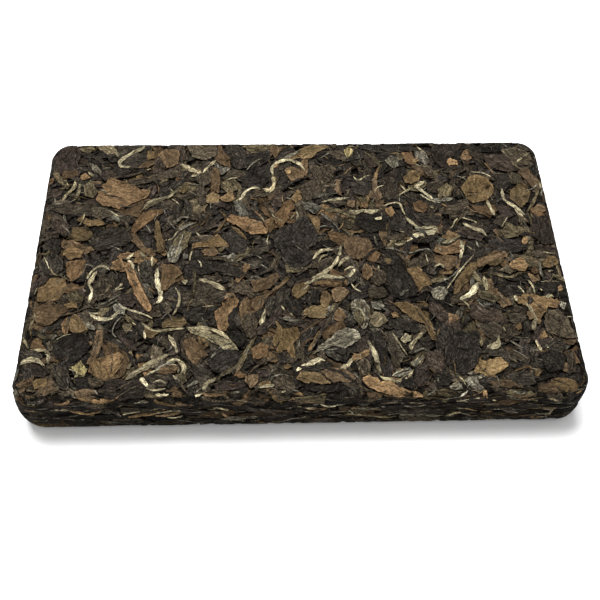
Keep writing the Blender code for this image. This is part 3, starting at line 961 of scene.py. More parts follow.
UPPER_RIGHT = """
char 355,146 370,144 415,142 412,150 398,151 385,151 372,152
yellow 343,150 349,146 354,152 350,157 345,156
olive+~0.5 345,148 352,146 358,149
olive+~1.0 364,152 374,158 380,166 380,171
grey- 384,160 390,154 398,157 400,165 392,168
olive 396,154 404,151 404,160 398,160
brown 401,152 410,151 414,158 419,161 412,165 404,160
ochre+ 410,160 418,158 420,161 414,162
grey- 414,150 424,151 430,160 426,165 416,158
straw-~0.4 416,145 426,154
plum 430,146 445,142 462,145 452,156 442,167 434,158
umber 420,164 432,166 438,176 428,176
umber~0.6 448,156 458,156 464,162 464,170 452,172 438,171
olive-~0.8 442,168 435,173 437,181 446,184
umber+~0.5 440,171 448,177 462,180
straw-~0.5 460,178 466,175
ochre+ 446,163 450,158 456,160 458,164 450,165
umber- 466,150 474,150 492,154 492,164 484,168 476,160
brown+~0.9 484,161 490,168 495,176
straw-~0.4 470,170 482,172 492,176
ochre- 405,182 402,176 412,168 420,172 420,180 412,184
olive 408,186 424,180 430,184 420,190 411,191
straw- 413,186 418,182 426,180 424,184 416,188
umber 426,181 440,180 446,184 436,192 426,190
straw-~0.9 415,186 424,192 434,200
straw-~0.5 420,194 428,199 436,202
olive+ 437,189 446,182 454,186 452,194 444,198 440,194
straw~0.5 400,184 406,190
straw-~0.6 398,195 404,191 411,188
ochre- 462,187 468,177 476,174 486,177 492,184 494,192 488,200 474,203 466,196
umber-~0.25 480,190 486,187 491,184
umber-~0.25 464,191 474,192 484,193
brown- 468,203 480,206 495,204 500,210 490,217 478,212
straw~0.9 487,200 490,207 495,215
umber 380,178 390,174 398,182 398,198 388,200 380,192
brown+ 371,180 376,176 378,186 383,198 378,200 373,190
ochre~0.8 365,190 368,198 367,204
brown 348,200 356,200 354,207 348,206
brown 362,201 368,203 368,208 361,206
brown 376,200 385,200 382,207 376,208
straw~0.5 353,176 358,180 366,176 371,175
char 350,182 362,180 372,186 366,196 354,194
olive~0.6 346,196 350,188
char 356,216 374,212 388,216 386,230 370,232 356,226
char 386,216 400,212 408,220 404,230 390,230
ochre- 385,209 391,205 396,211 391,217 386,213
straw- 375,217 381,216 382,219 376,220
straw-~0.55 380,209 385,205 391,203 399,203 403,210 406,216
straw~1.2 349,210 355,212 363,210 371,211 381,209
straw~1.0 405,216 409,220 415,224 421,227 428,227 437,226
straw- 425,230 431,229 437,227 433,235 428,235
brown- 414,210 412,204 420,200 428,206 424,212
straw~0.4 430,206 434,208
ochre-~0.4 441,203 448,207
char 412,214 430,212 442,216 440,224 426,226 420,222
umber 383,238 395,233 412,230 420,230 404,238 390,242
straw~1.3 405,241 412,237 420,234 425,237
straw~0.9 390,240 396,244 404,243
olive+ 386,247 392,240 398,240 392,249
brown 344,240 356,235 368,238 373,246 368,257 352,259 345,250
grey-~0.6 374,234 377,243 380,249
grey~0.6 374,250 382,247 392,248 402,251 412,252 420,249 429,248 435,255
plum 458,226 470,231 485,237 481,241 468,237 458,233
ochre- 441,237 450,230 459,234 452,241
straw-~0.5 446,229 452,226 456,219 461,217 472,220 479,224
straw~1.0 463,222 474,228 482,231 487,236
straw-~1.0 442,243 452,240 461,235
brown+ 433,251 436,244 446,246 460,240 467,240 461,252 444,255
straw~1.0 461,240 462,250 460,259
straw-~0.5 466,245 473,250
grey~0.6 476,240 479,247
"""

FAR_RIGHT = """
char 466,145 480,142 505,141 516,146 500,150 478,152 462,148
plum- 482,156 500,153 514,158 526,168 506,171 490,166
umber- 500,150 515,147 530,153 534,164 520,166 508,158
olive-~0.9 514,150 524,158 532,160
olive-~0.8 510,160 520,168 532,166
straw-~0.6 516,163 522,157 530,152
char 494,176 506,174 512,182 506,190 496,188
brown 518,170 528,168 534,176 541,183 534,187 524,178
umber 506,172 518,172 522,182 512,184
ochre- 510,190 516,184 526,183 531,190 529,200 522,208 514,202 509,196
umber-~0.25 513,199 520,197 527,196
straw-~0.6 540,182 541,188
olive+~1.0 538,188 536,196 532,204 527,212
olive+~0.9 527,211 532,220 534,231
olive-~0.8 515,210 522,217 530,222
straw-~0.8 514,207 519,213 524,217
straw~0.9 502,188 503,196 508,202 516,207 525,215
plum 495,204 506,205 516,214 510,218 500,214
brown+ 534,209 538,204 545,207 545,212 537,213
plum- 535,218 549,215 553,230 557,241 546,245 534,237 532,226
umber 500,214 508,218 500,226 492,222
olive+ 500,230 508,222 520,226 527,230 516,236 506,239
straw-~0.4 502,226 508,216
char 488,240 504,238 520,240 528,248 510,252 494,250
ochre- 523,236 527,236 528,242 524,244
plum 534,244 546,246 560,248 562,262 548,262 538,254
olive- 516,256 530,250 546,254 558,262 544,268 526,266
grey~0.5 509,250 512,256 511,262
"""

MIDDLE_LEFT = """
char 38,262 50,252 60,256 63,268 52,276 40,276
olive~0.8 40,252 46,254 50,250
plum 32,282 42,276 50,276 40,288 32,292
ochre- 64,250 72,246 84,250 82,256 70,260 64,256
brown 66,262 80,259 86,261 84,268 80,276 72,281 66,272
olive~0.5 50,268 54,274 62,276 70,281
umber+~0.5 86,258 85,267 80,276 70,282
ochre- 36,300 40,287 50,278 64,279 68,287 60,298 48,303
brown 32,311 38,303 50,301 62,305 74,308 57,320 44,326 35,322
umber+~0.35 38,304 52,298 63,290 72,284
olive- 67,293 78,289 85,296 80,304 70,303
ochre- 62,304 70,301 77,304 76,308 66,308
char~0.5 57,319 66,312 76,308
brown+ 60,324 66,318 69,316 68,330 66,336 62,331
ochre- 70,318 76,314 84,322 87,330 78,333 70,331
umber-~0.4 68,316 67,326 65,334
umber 74,313 86,310 90,320 84,322
olive-~0.9 20,338 26,328 33,316
straw-~0.4 22,336 27,346
olive-~1.0 29,332 32,322 36,312
char~1.3 38,335 46,329 57,328
olive-~0.8 36,332 44,338 54,334
grey-~0.8 51,340 56,334
umber 94,284 100,274 111,275 116,284 110,296 98,300 92,292
umber-~1.0 97,289 102,280 110,281 112,288 104,294
olive~0.6 98,296 106,292 110,284
straw-~0.7 114,290 119,287 122,282
straw~0.6 110,270 106,267 100,266 93,270 88,276 85,281
straw~1.1 88,284 92,277 97,271
straw~0.8 88,284 92,290 90,297 89,303
grey-~0.5 90,305 100,303 109,300 121,294
grey-~0.4 94,307 106,305 120,298
plum 118,297 130,290 137,297 132,306 120,305
straw-~0.6 90,313 99,313
grey 112,306 119,303 126,307 125,315 116,312
straw~1.0 88,311 94,317 102,319 111,318 119,311
straw-~0.5 122,307 134,311 146,315 152,318
umber 128,312 140,314 150,320 140,322 130,318
brown+ 124,266 130,261 134,270 140,282 146,296 152,307 148,313 142,306 134,292 128,280
umber~0.6 132,262 138,276 146,292 152,302
brown 112,262 122,258 126,266 118,270
straw~0.9 126,259 131,255 134,251
straw~0.8 127,259 132,263 133,269
straw-~1.0 140,251 144,258
char 140,262 150,260 154,270 150,284 142,280
char~0.6 146,268 151,266 153,272 148,278
straw-~0.4 138,264 139,272
straw~0.5 152,256 152,266
brown~0.7 148,286 155,293
straw~1.3 157,268 157,280 160,290 160,300 156,303
brown 144,248 152,248 156,256 148,256
grey~0.4 122,316 115,323 112,331 117,338
olive 122,323 131,324 131,331 124,333
straw~0.35 132,322 136,325
umber+~0.7 137,331 136,342
ochre- 144,328 158,332 152,339 146,336
straw-~0.5 144,330 145,339
umber 96,323 104,326 105,340 100,351 94,363 88,364 90,350 94,338
char~1.5 106,341 117,342 128,351
plum 118,336 132,340 138,350 128,350
straw-~0.8 33,349 42,350 48,354 47,363
straw-~0.8 19,365 28,361 38,361 45,366
"""

MIDDLE = """
grey 170,246 182,246 180,254 176,263 169,261 168,252
straw-~0.35 178,247 175,258
brown- 161,265 172,264 182,271 184,280 172,284 166,291 161,290
ochre-~0.7 168,286 174,278 184,271
grey- 182,253 187,252 187,258 183,259
straw-~0.4 192,250 190,256 190,262
char 188,262 200,258 212,262 214,272 198,274
brown- 200,250 214,246 219,252 214,257 204,255
grey~0.7 216,257 226,255 236,258
grey+ 226,256 232,252 236,254 235,258 228,259
char 216,262 234,260 244,268 240,278 224,274
umber+ 180,290 196,288 200,281 212,282 224,287 229,293 223,303 204,305 182,306
olive-~0.7 194,268 195,282 193,298
straw-~0.4 202,306 212,305 221,304
char 184,307 202,307 216,306 212,318 196,322 184,318
umber 204,275 216,276 224,281 214,283 203,280
straw-~1.2 199,279 210,282 220,287 226,290
straw- 182,280 188,280 185,285
straw-~0.7 175,287 179,294 179,302 176,309 172,315
grey-~0.4 171,310 165,315 160,320
brown 214,312 222,304 226,294 232,293 239,300 236,307 230,312 229,322 226,331 219,329 216,320
char~1.4 232,330 230,318 238,306
ochre- 160,322 172,316 184,316 188,322 180,327 164,328
grey-~0.8 202,317 204,324 209,329
char 208,340 220,344 222,352 210,352
ochre 196,336 206,338 211,344 204,347 198,342
straw~0.7 141,322 150,329 162,330 174,329 186,328
straw- 186,327 200,326 214,328 225,333 233,342 239,350 230,351 218,344 205,338 192,332
straw~0.9 186,328 204,328 220,332 231,341 239,350
straw-~0.9 194,331 210,336 224,346 236,350
straw~1.0 221,345 228,350 236,351
straw~0.9 168,334 173,342 176,348 177,353
umber+ 244,314 252,312 257,320 257,334 250,339 245,334 243,324
brown 252,298 262,295 272,290 278,286 270,298 262,306 258,312 252,307
brown+~0.8 261,309 265,298 275,289 286,281 290,275
brown- 250,280 264,278 276,272 280,278 268,288 254,292
char~1.0 252,278 262,272 274,268
ochre-~1.0 280,287 284,281 289,276
grey~0.7 248,278 256,276 262,280
straw~1.1 261,330 262,322 265,312 270,305 276,298 281,294
char 264,300 276,292 290,288 290,300 280,314 268,318
plum- 268,318 276,310 284,306 282,318 272,326
ochre 292,291 296,284 306,282 311,286 304,294 298,298 292,295
straw~1.0 304,284 312,281 321,275
straw-~0.35 300,292 309,285
ochre+ 304,309 310,306 320,304 328,308 326,317 310,318 303,314
straw~0.4 281,305 285,311
straw-~0.4 284,304 289,310 293,316
char 284,300 298,298 304,306 300,316 288,312
grey-~0.7 278,317 290,320 304,320
char~1.0 282,323 294,324 306,321
ochre- 273,336 277,328 275,321 280,324 284,330 292,326 299,328 299,336 293,344 296,357 292,358 288,350
  282,348 283,359 279,358 276,348 273,342
umber+ 252,358 256,346 264,338 270,334 269,350 266,363 256,363
brown-~0.8 299,335 311,326 323,318
brown-~0.8 300,347 308,340 315,336
ochre-~0.8 308,352 313,342 320,330
plum 257,336 266,332 272,324 264,322 256,328
olive~1.3 252,338 248,350 242,361 236,372
char 228,332 240,330 246,340 240,346 232,342
"""

MIDDLE_RIGHT = """
char 310,290 320,289 319,304 311,303
umber 318,262 330,256 338,262 330,270 318,272
brown- 331,269 344,271 343,277 330,277
brown 318,280 330,279 343,281 343,286 328,287 320,285
ochre-~1.1 312,285 322,282 332,284 343,283
ochre 320,292 328,288 331,296 328,306 322,307 320,300
brown+ 331,289 344,287 350,292 342,300 335,302 332,295
straw-~0.4 319,317 324,314 328,316
straw~1.0 341,245 340,252 337,260 331,267 324,272 316,275 311,278
straw~1.2 311,282 317,278 325,276 335,277 346,277
straw-~0.9 338,266 342,261 347,258 351,258
straw~0.7 344,270 350,267 355,267
straw~0.9 355,268 352,273 348,277
brown 336,309 342,308 347,318 341,322 333,318
brown- 322,333 330,324 341,320 347,326 339,332 330,341 324,338
umber+~0.8 341,300 334,310 328,322 320,334 314,344 309,353
umber 370,270 382,272 389,280 380,285 370,281
umber 369,288 384,286 388,294 378,299 370,297
char 386,268 394,262 402,260 409,270 415,282 417,294 404,299 392,297 386,284
brown 370,252 376,250 381,254 376,262 370,261 366,258
brown 362,268 367,264 372,268 372,275 367,281 362,276
char~0.8 357,286 359,272 363,261 370,253 379,248 388,246
umber-~0.8 392,250 402,256 409,266 414,276 418,287
ochre+ 384,259 388,257 391,260 388,264 384,262
straw~0.5 379,264 379,271
straw~0.35 351,283 355,288 362,292
straw-~0.35 359,283 354,288
grey~0.8 400,296 405,291 409,289
ochre- 405,263 408,268 416,266 422,270 430,278 433,283 422,288 420,292 416,284 412,276 407,272
straw~0.35 426,254 428,262
brown+ 433,254 446,255 458,256 456,264 448,271 440,265 434,262
straw-~0.7 434,267 440,264 445,268
grey+ 432,291 438,286 444,286 448,292 444,300 438,300 433,296
plum 428,300 440,304 449,312 457,322 463,331 452,331 440,321 430,311
grey 350,304 356,299 364,300 369,308 371,318 364,329 358,324 352,313
olive-~0.6 352,302 362,304 369,312 370,321
straw-~0.6 351,307 360,309 365,318 363,327
olive+ 353,312 358,310 364,318 362,327 356,320
grey- 371,302 380,300 385,304 381,309 373,309
grey~0.7 380,306 386,309 393,312
olive+ 370,314 376,311 384,315 389,320 382,326 374,327 370,320
char 388,318 402,318 418,324 422,332 404,330 390,326
grey 312,354 320,345 330,338 336,331 348,327 358,330 361,338 354,344 344,348 332,345 322,350
grey-~0.5 316,350 328,343 340,338
ochre 391,314 396,311 399,317 393,317
ochre- 393,304 400,301 408,302 416,306 424,312 430,320 434,330 440,337 448,336 450,345 446,351 442,348
  441,341 434,340 428,332 424,323 419,322 412,318 404,312
umber~0.35 411,303 419,311 426,322 431,333
char 440,322 456,330 462,346 456,360 438,352 436,336
brown+ 448,314 456,314 460,317 450,324
umber+ 384,332 392,332 398,344 405,356 402,362 394,356 388,346
straw-~0.4 392,332 400,344 408,355
char 372,332 382,330 386,344 389,362 380,363 374,346
straw-~1.2 368,340 373,350 378,362 381,373
ochre+ 352,357 360,354 368,350 370,354 361,359 353,361
straw- 400,340 406,333 412,334 411,340 404,342
straw~1.1 423,332 416,339 412,344 411,350
grey~0.7 414,352 424,348 432,352
straw- 412,363 418,357 423,358 419,364 413,367
straw~0.9 310,364 318,360 326,360
straw~0.6 346,366 350,360 354,357
"""

RIGHT = """
char 452,330 480,331 481,346 468,348 456,345
plum 470,303 486,305 502,310 505,318 496,325 482,322 470,314
umber 480,325 494,322 506,327 504,337 492,341 484,333
umber 508,313 520,312 527,318 520,325 510,322
char 524,320 531,322 531,335 524,337
ochre- 452,291 456,280 464,270 472,262 481,257 477,268 468,279 460,289 454,295
straw-~0.4 446,290 453,280 462,268 474,254
grey~0.5 434,284 444,280 453,275 461,267
brown+ 476,260 484,256 496,253 506,251 509,256 500,260 488,263 478,266
ochre- 486,263 496,259 505,258 500,264 488,265
umber+ 498,270 508,264 518,269 509,273
straw~1.4 460,299 467,296 473,291 478,282
straw~1.0 484,274 485,281 487,288 488,295
olive- 477,292 484,290 494,294 501,299 492,301 480,298
olive+~0.8 487,275 494,273 503,276 512,276 520,272 528,271
straw-~0.5 462,300 468,304 470,309
ochre 509,264 516,258 522,257 527,264 526,271 518,270 512,268
brown+ 528,272 534,276 541,280 534,282 529,277
brown- 531,268 536,266 539,271 533,273
ochre- 543,261 550,255 557,258 558,264 550,267 544,266
umber+ 528,250 540,248 550,252 546,258 534,258
grey~0.6 540,261 541,270 544,277
straw~0.6 548,270 554,270
straw-~0.3 540,281 550,280 560,281
olive-~0.8 556,264 559,270 561,278
char 534,284 546,282 560,284 563,292 548,293 536,289
ochre- 557,287 561,284 563,290 558,291
straw-~0.6 528,280 533,286 535,293
straw~0.35 518,285 522,289 525,293
grey-~0.5 506,288 510,285 509,290
umber 544,320 548,310 556,308 566,316 575,329 577,337 566,338 556,334 548,332
ochre+ 516,299 520,297 524,293 530,294 536,294 541,297 550,296 556,298 560,301 558,306 553,308 549,306
  546,311 542,318 539,324 536,320 534,314 530,307 524,303 519,303
straw- 524,302 530,306 535,313 538,321 535,329 533,330 534,319 530,310
brown 526,312 531,310 535,317 530,320
char 527,298 530,296 533,298 534,301 531,304 528,303
straw~0.8 515,295 517,301
straw~0.8 545,298 550,295 554,297
brown+ 554,304 558,302 558,307 555,307
grey 560,300 566,303 565,310 560,307
plum~1.2 541,324 537,334 530,343
ochre+ 541,332 545,330 548,335 544,338 540,338
straw~0.8 536,340 539,345 542,351
straw~0.35 544,344 549,348
char 548,340 558,338 567,345 562,353 550,351
straw- 485,346 490,345 496,340 499,334 501,343 498,348 491,350
straw~0.4 503,326 506,331
ochre- 516,326 520,322 523,328 518,330
olive~0.5 507,310 514,312
umber~0.8 500,346 508,356 520,362
grey~0.5 510,338 518,345 524,348
olive+ 479,338 483,336 484,345 480,347
brown- 566,352 574,350 581,363 570,363
"""

FRONT_LEFT = """
brown 30,346 33,340 37,336 42,342 46,349 38,350 32,349
umber+ 47,342 52,340 57,343 56,349 49,351
char+ 21,353 30,350 40,351 43,356 36,360 25,359
char 58,338 72,332 88,334 90,346 82,357 70,362 58,360 52,350
char+~1.0 70,352 66,360 58,366 52,368
straw-~0.7 29,349 36,350 43,350 48,352 49,357 47,364
straw-~1.0 20,364 25,360 31,359 38,361 45,366
ochre-~0.8 21,336 20,344 19,350
straw-~0.7 23,338 26,344 29,349
grey+~0.9 19,368 16,374 14,381
plum 32,366 45,366 50,372 44,377 33,376
char+ 22,369 32,367 33,377 24,380
brown 39,387 50,378 58,390 48,394 36,396
ochre- 32,382 38,378 46,378 48,384 42,387 34,389
umber+~0.4 51,379 56,386 60,392
char 52,368 66,366 70,378 66,390 56,386
brown+ 18,390 24,386 26,389 21,393
ochre- 25,393 31,396 30,399 26,398
brown 12,394 22,396 24,406 19,404
brown 86,364 90,356 95,345 96,330 103,330 103,341 100,350 95,360 90,364
umber~0.3 99,332 97,346 92,356
brown- 100,343 108,341 118,346 129,356 127,365 118,378 111,380 108,360
ochre- 87,372 90,362 97,358 106,356 118,352 124,356 118,368 111,379 104,381 96,376
ochre- 91,362 97,361 105,370 110,378 104,381 98,378 91,373
ochre~0.35 98,361 104,369 111,378
ochre~0.3 128,356 120,366 113,376
brown~0.3 124,354 117,364 111,372
umber~0.35 112,346 112,360 111,374
char~1.2 103,342 114,342 124,350 131,358 133,366
yellow 68,367 75,366 79,362 82,361 84,367 88,370 83,375 78,380 74,383 71,378 75,376 76,371
straw-~0.35 68,368 75,371 77,375 74,378 70,376
char 72,378 84,376 92,378 98,384 92,390 78,390
grey-~0.3 66,376 68,384 66,390
grey-~0.3 70,380 73,388
umber 88,378 98,377 104,383 98,388 90,386
brown- 75,391 84,388 95,390 99,395 90,399 76,398
grey~0.5 94,390 98,395
plum 100,390 106,381 118,378 130,380 138,378 146,386 147,392 140,398 122,400 106,398
umber+~0.3 107,394 122,386 136,379
umber+~0.3 118,396 132,388 142,384
straw-~1.4 124,379 130,375 137,371 144,367 151,363 160,359 168,354
straw~0.5 125,379 133,372 141,369 150,365
straw-~0.5 146,375 154,371 166,366
straw+~1.0 140,377 144,382 148,387
straw-~0.5 147,389 156,390 166,388
olive~0.7 144,394 152,396 164,397
umber 150,376 160,374 168,378 166,386 156,386 150,384
straw-~0.4 152,383 160,380 166,384
"""

FRONT_MIDDLE = """
umber 180,340 187,333 195,339 203,346 209,354 201,360 198,367 190,364 183,357
brown 183,345 187,337 193,338 202,347 207,354 199,359 197,366 189,361
char~0.7 178,352 186,358 194,366 200,372
brown 158,374 161,367 170,364 178,367 176,372 168,375
grey~0.8 155,369 162,366 169,363 175,362
straw+~1.0 166,362 171,360 176,359 181,362 184,367 182,373 177,378 173,375
straw~0.6 168,366 174,364 178,367 178,372
olive- 176,374 184,372 188,380 182,386
char 210,352 222,349 238,350 243,356 238,362 232,369 222,373 212,370 206,362
grey-~0.6 211,358 216,352
char 190,368 204,364 212,372 208,380 196,380
olive-~1.1 214,381 221,375 230,370 238,365 243,358 248,350 252,342 256,336
grey+~0.35 240,362 246,354 250,345
grey~0.35 222,376 231,371 238,366
straw-~1.5 203,390 206,384 210,380 216,377
straw~0.5 205,390 208,384 213,379
grey~0.9 186,387 192,384 199,380
umber~0.7 178,380 182,386 186,392
brown 234,375 238,371 246,374 244,377 237,377
brown+ 244,378 252,373 258,374 257,382 252,388 248,384
grey~0.7 230,393 240,392
straw-~0.3 219,382 224,382
brown 252,348 260,342 268,345 268,356 258,359 252,358
umber~0.7 246,376 256,366 268,360 276,356
plum 257,371 263,367 270,369 271,375 265,378 259,376
umber+~0.35 258,371 263,368 269,370 270,375
ochre 258,384 266,380 272,382 270,386 262,386
straw+~0.9 258,387 266,386 275,385
umber 273,379 285,376 294,380 296,388 285,390 275,387
grey+~0.5 271,381 272,377 278,375 284,374 290,376
ochre 283,366 289,364 293,365 290,369 284,368
char 276,352 286,352 288,362 278,363
umber~0.7 204,386 214,384 226,382
plum 214,384 228,380 240,380 246,386 234,390 218,391
brown+ 166,390 176,386 182,392 180,398 168,396
straw-~0.35 281,392 286,391
ochre-~0.7 294,395 299,393 304,396
"""

FRONT_RIGHT = """
ochre 295,379 300,372 312,371 320,373 326,379 333,383 322,384 310,382 301,381
char 300,384 316,385 330,386 344,384 352,388 336,392 312,391
brown+ 321,372 330,366 338,367 346,370 353,374 357,379 347,382 336,382 329,378
umber~0.35 321,373 328,379 336,384
char~0.9 326,368 340,372 352,380 358,384
straw+~1.1 296,371 301,367 309,364 315,361 320,359 325,361
straw~1.0 340,368 346,366 350,363 353,359
char 296,366 312,367 326,363 334,362 330,368 312,371
brown+ 352,358 354,353 361,355 367,349 371,350 364,358 357,360
umber 356,362 366,358 372,366 370,374 360,374
umber+~0.4 361,362 364,368 369,371
grey~0.5 354,372 359,379
ochre+ 362,379 369,374 377,377 383,381 393,382 401,387 409,390 418,392 426,396 414,397 402,397 391,395
  379,391 369,387
umber~0.9 344,384 354,386 364,389 370,391
char 380,352 388,354 394,366 392,376 384,376 380,366
umber 392,356 400,360 400,368 393,366
grey+ 392,376 397,371 404,368 411,367 412,370 407,374 399,377
umber~0.3 394,375 402,372 410,369
straw+~0.9 379,374 384,378 391,379 397,381 405,378 411,374 414,368
straw-~0.3 398,372 404,369
char 402,378 412,374 416,384 412,390 404,386
plum 414,370 420,364 428,366 432,374 430,382 424,388 418,387 414,380
umber+~0.3 421,386 427,382 432,374
grey+ 412,362 418,358 423,356 421,361 415,367
plum 422,352 440,350 446,360 444,374 434,372 428,364
char 432,374 446,370 454,376 450,384 438,386
grey+ 436,382 438,377 441,381
grey-~0.3 430,385 437,386
grey 450,386 455,381 461,383 463,388 456,390 451,389
straw-~0.35 452,384 457,382
umber 398,398 412,397 420,399 410,401 400,401
"""

FRONT_CORNER = """
char 445,346 456,336 470,337 479,345 480,356 474,368 462,374 450,368 444,356
char+~0.4 452,346 464,348 478,348
tan+ 474,372 477,362 479,356 483,359 488,360 492,357 497,356 501,357 505,360 509,363 507,368 501,371 496,375
  490,377 484,374 478,373
ochre+~0.4 476,372 482,369 487,373 492,377
ochre~0.4 478,358 480,366 486,372
char 488,351 500,349 508,353 506,358 496,355 490,356
umber 508,350 516,351 526,355 532,360 524,362 514,357
grey~0.3 506,350 514,357 524,362
grey~0.3 512,349 520,353 528,359
char 510,362 522,362 532,365 526,368 514,369
ochre-~0.7 514,371 522,368 529,366 533,370
char 504,374 520,370 534,374 536,384 520,386 508,380
ochre 535,370 539,367 543,371 540,376 536,375
straw~0.9 536,339 538,344 542,350
grey~0.5 541,342 549,347
grey-~0.5 538,358 545,361 552,362
char 540,352 556,350 566,356 564,368 550,372 544,364
umber+ 567,350 572,352 576,358 577,366 575,372 568,374 567,362
umber~0.35 570,352 572,362 571,373
brown 538,386 546,382 554,381 558,386 562,391 552,392 540,391
ochre- 551,379 558,376 566,377 574,380 579,384 577,390 570,392 562,390 556,386
umber~0.3 556,384 562,390 566,393
brown 487,382 496,379 504,378 512,381 520,385 525,387 512,388 500,386 492,385
umber+ 489,385 500,386 503,391 494,391
grey~0.4 513,391 520,392 526,390
grey 465,379 470,375 478,378 480,384 484,388 478,390 470,387
grey+~0.35 466,380 472,376 479,379
grey+~0.35 467,388 471,383 478,385
straw-~0.35 458,374 464,380 466,386
char 484,378 490,376 500,376 496,380 488,382
straw-~0.3 540,396 548,393
"""

top = Pile(-HALF - MAP_MARGIN, HALF + MAP_MARGIN, upper)
fill(top, -HALF - FILL_MARGIN, HALF + FILL_MARGIN)
strands(top, -HALF, HALF, LOWER_STRAND_GAP)
for region in (UPPER_LEFT, UPPER_MIDDLE, UPPER_RIGHT, FAR_RIGHT, MIDDLE_LEFT, MIDDLE, MIDDLE_RIGHT, RIGHT,
               FRONT_LEFT, FRONT_MIDDLE, FRONT_RIGHT, FRONT_CORNER, PALE_CURLS):
    lay_by_hand(top, on_top, region)
strands(top, -HALF, HALF, UPPER_STRAND_GAP)
press(top)


# --------------------------------------------------
# The under face: the same loose tea pressed to the mould's floor. It is hardly ever seen, so its
# mesh is coarser. A leaf laid on its plan is turned over, because the plan is seen from above.
# --------------------------------------------------

UNDER_SPREAD = 3.6

bottom = Pile(-HALF - MAP_MARGIN, HALF + MAP_MARGIN, under)
fill(bottom, -HALF - FILL_MARGIN, HALF + FILL_MARGIN, UNDER_SPREAD)
for item in bottom.laid:
    item["triangles"] = item["triangles"][:, ::-1]
press(bottom)


# --------------------------------------------------
# The side: leaves seen end on, in thin wavy layers all round, with pale shreds between them. The front's own
# streaks and rolls are listed one by one, as on the upper face.
# --------------------------------------------------

LAYERS = 18
LAYER_LENGTHS = (7, 30)
LAYER_HALF_WIDTHS = (0.25, 0.7)
LAYER_HALF_HEIGHT = 1.3
LAYER_DEPTH = 1.55
LAYER_STEP = 2.2
LAYER_DEPTH_SPREAD = 0.35
LAYER_MARGIN = 0.6
LAYER_WAVE = 0.4
LAYER_SHIFT = 0.6
LAYER_TILT = 0.9
LAYER_SPACING = (0.5, 0.95)  # from edge to edge, as shares of a length
SIDE_MARGIN = 0.4
SIDE_FILL_MARGIN = 3.0
SIDE_STRAND_MARGIN = 1.0
SIDE_STRAND_GAP = 5.0
SIDE_LEAN = 0.35
SIDE_SPREAD = 2.0
STRAND_LEAN = 0.4
STRAND_LIGHT = 1.6  # strands at random are so much darker than the listed streaks
STREAK_DEPTH = 1.2
GIRTH_MARGIN = 40.0

FRONT_SIDE = """
grey~0.5 27,405 31,404 37,405
grey~0.35 28,409 33,410 38,409
char~1.0 22,400 34,404 46,402
brown~0.9 52,404 60,405 70,403
ochre-~1.0 74,399 86,402 100,403 118,401
umber~1.2 50,409 62,410 74,411
ochre-~0.7 66,411 76,413 88,415 96,413 105,411
plum~1.4 80,406 94,408 104,409
straw-~0.5 121,416 126,414 134,413 143,411
ochre-~0.9 121,417 134,417 150,415 166,410
char~1.3 104,412 116,414 122,418
grey~0.35 116,419 122,421 128,418
umber~0.9 96,421 106,423 116,422
grey~0.6 128,404 142,403 150,403
ochre-~0.5 146,411 156,410 168,410
straw-~0.4 154,397 160,398 168,398
brown~1.4 154,417 166,416 176,414 183,413
straw-~0.35 150,415 166,412 183,411
straw-~0.3 166,418 176,418 183,417
brown~1.3 174,404 184,405 196,406
straw-~0.7 193,396 197,395 201,394
brown~0.8 201,395 214,394 226,393
umber~1.1 200,400 220,402 240,400
straw-~0.5 212,409 218,409 230,411
brown~0.9 222,413 226,417 230,418
grey~0.35 214,414 220,413
char~2.0 240,408 262,411 290,411
char~2.0 246,416 270,417 290,415
grey~0.5 279,420 290,419 300,418 308,417
straw-~0.45 294,406 304,408 316,408
brown~0.7 292,400 308,402 318,403
straw-~0.45 316,403 322,405 328,407 334,407 341,403
brown~0.8 306,410 318,409 328,410
grey~0.3 329,410 333,415 338,416
ochre+~0.9 350,410 354,408 358,410
grey~0.35 344,409 350,411 354,415
olive~0.6 338,416 352,415 370,416 386,418 398,417
umber+~1.0 381,405 390,403 402,402
grey+~0.5 381,407 388,407
umber~0.7 356,402 366,401 376,399
grey-~0.35 360,408 368,409
char~1.6 356,404 370,405
char~1.6 390,411 410,412 432,410
grey-~0.4 402,406 414,407 428,405
grey-~0.4 398,416 410,415 424,417
grey+~0.35 441,401 450,399 462,397 470,393
straw-~0.6 455,402 462,401 472,399 484,398
ochre+~0.7 483,398 486,395 488,400
ochre~0.4 460,409 468,409 477,412
straw-~0.35 446,417 454,414 462,413
ochre-~0.3 480,413 487,412 493,412
grey~0.5 483,405 490,405 499,404
straw-~0.5 492,400 497,401
umber+~0.6 462,414 472,416 482,415
brown-~0.8 510,396 524,397 536,396
olive+~0.7 540,401 547,399 553,399 558,402
umber~0.9 536,408 548,409 558,408
grey~0.3 534,413 542,414 552,412
grey-~0.35 544,413 547,419
straw-~0.3 553,409 547,415
char~1.5 500,410 514,412 528,409
"""


def on_front(spots):
    """Where camera spots fall on the brick's front: the distance along the girth, and the height."""
    rays = rays_through(spots)
    place = eye + rays * (-DEPTH / 2 - eye[1]) / rays[:, 1:2]
    rise = np.clip(place[:, 2], SIDE_MARGIN, HEIGHT - SIDE_MARGIN)
    return np.column_stack([place[:, 0] + LENGTH / 2 - CORNER, rise])


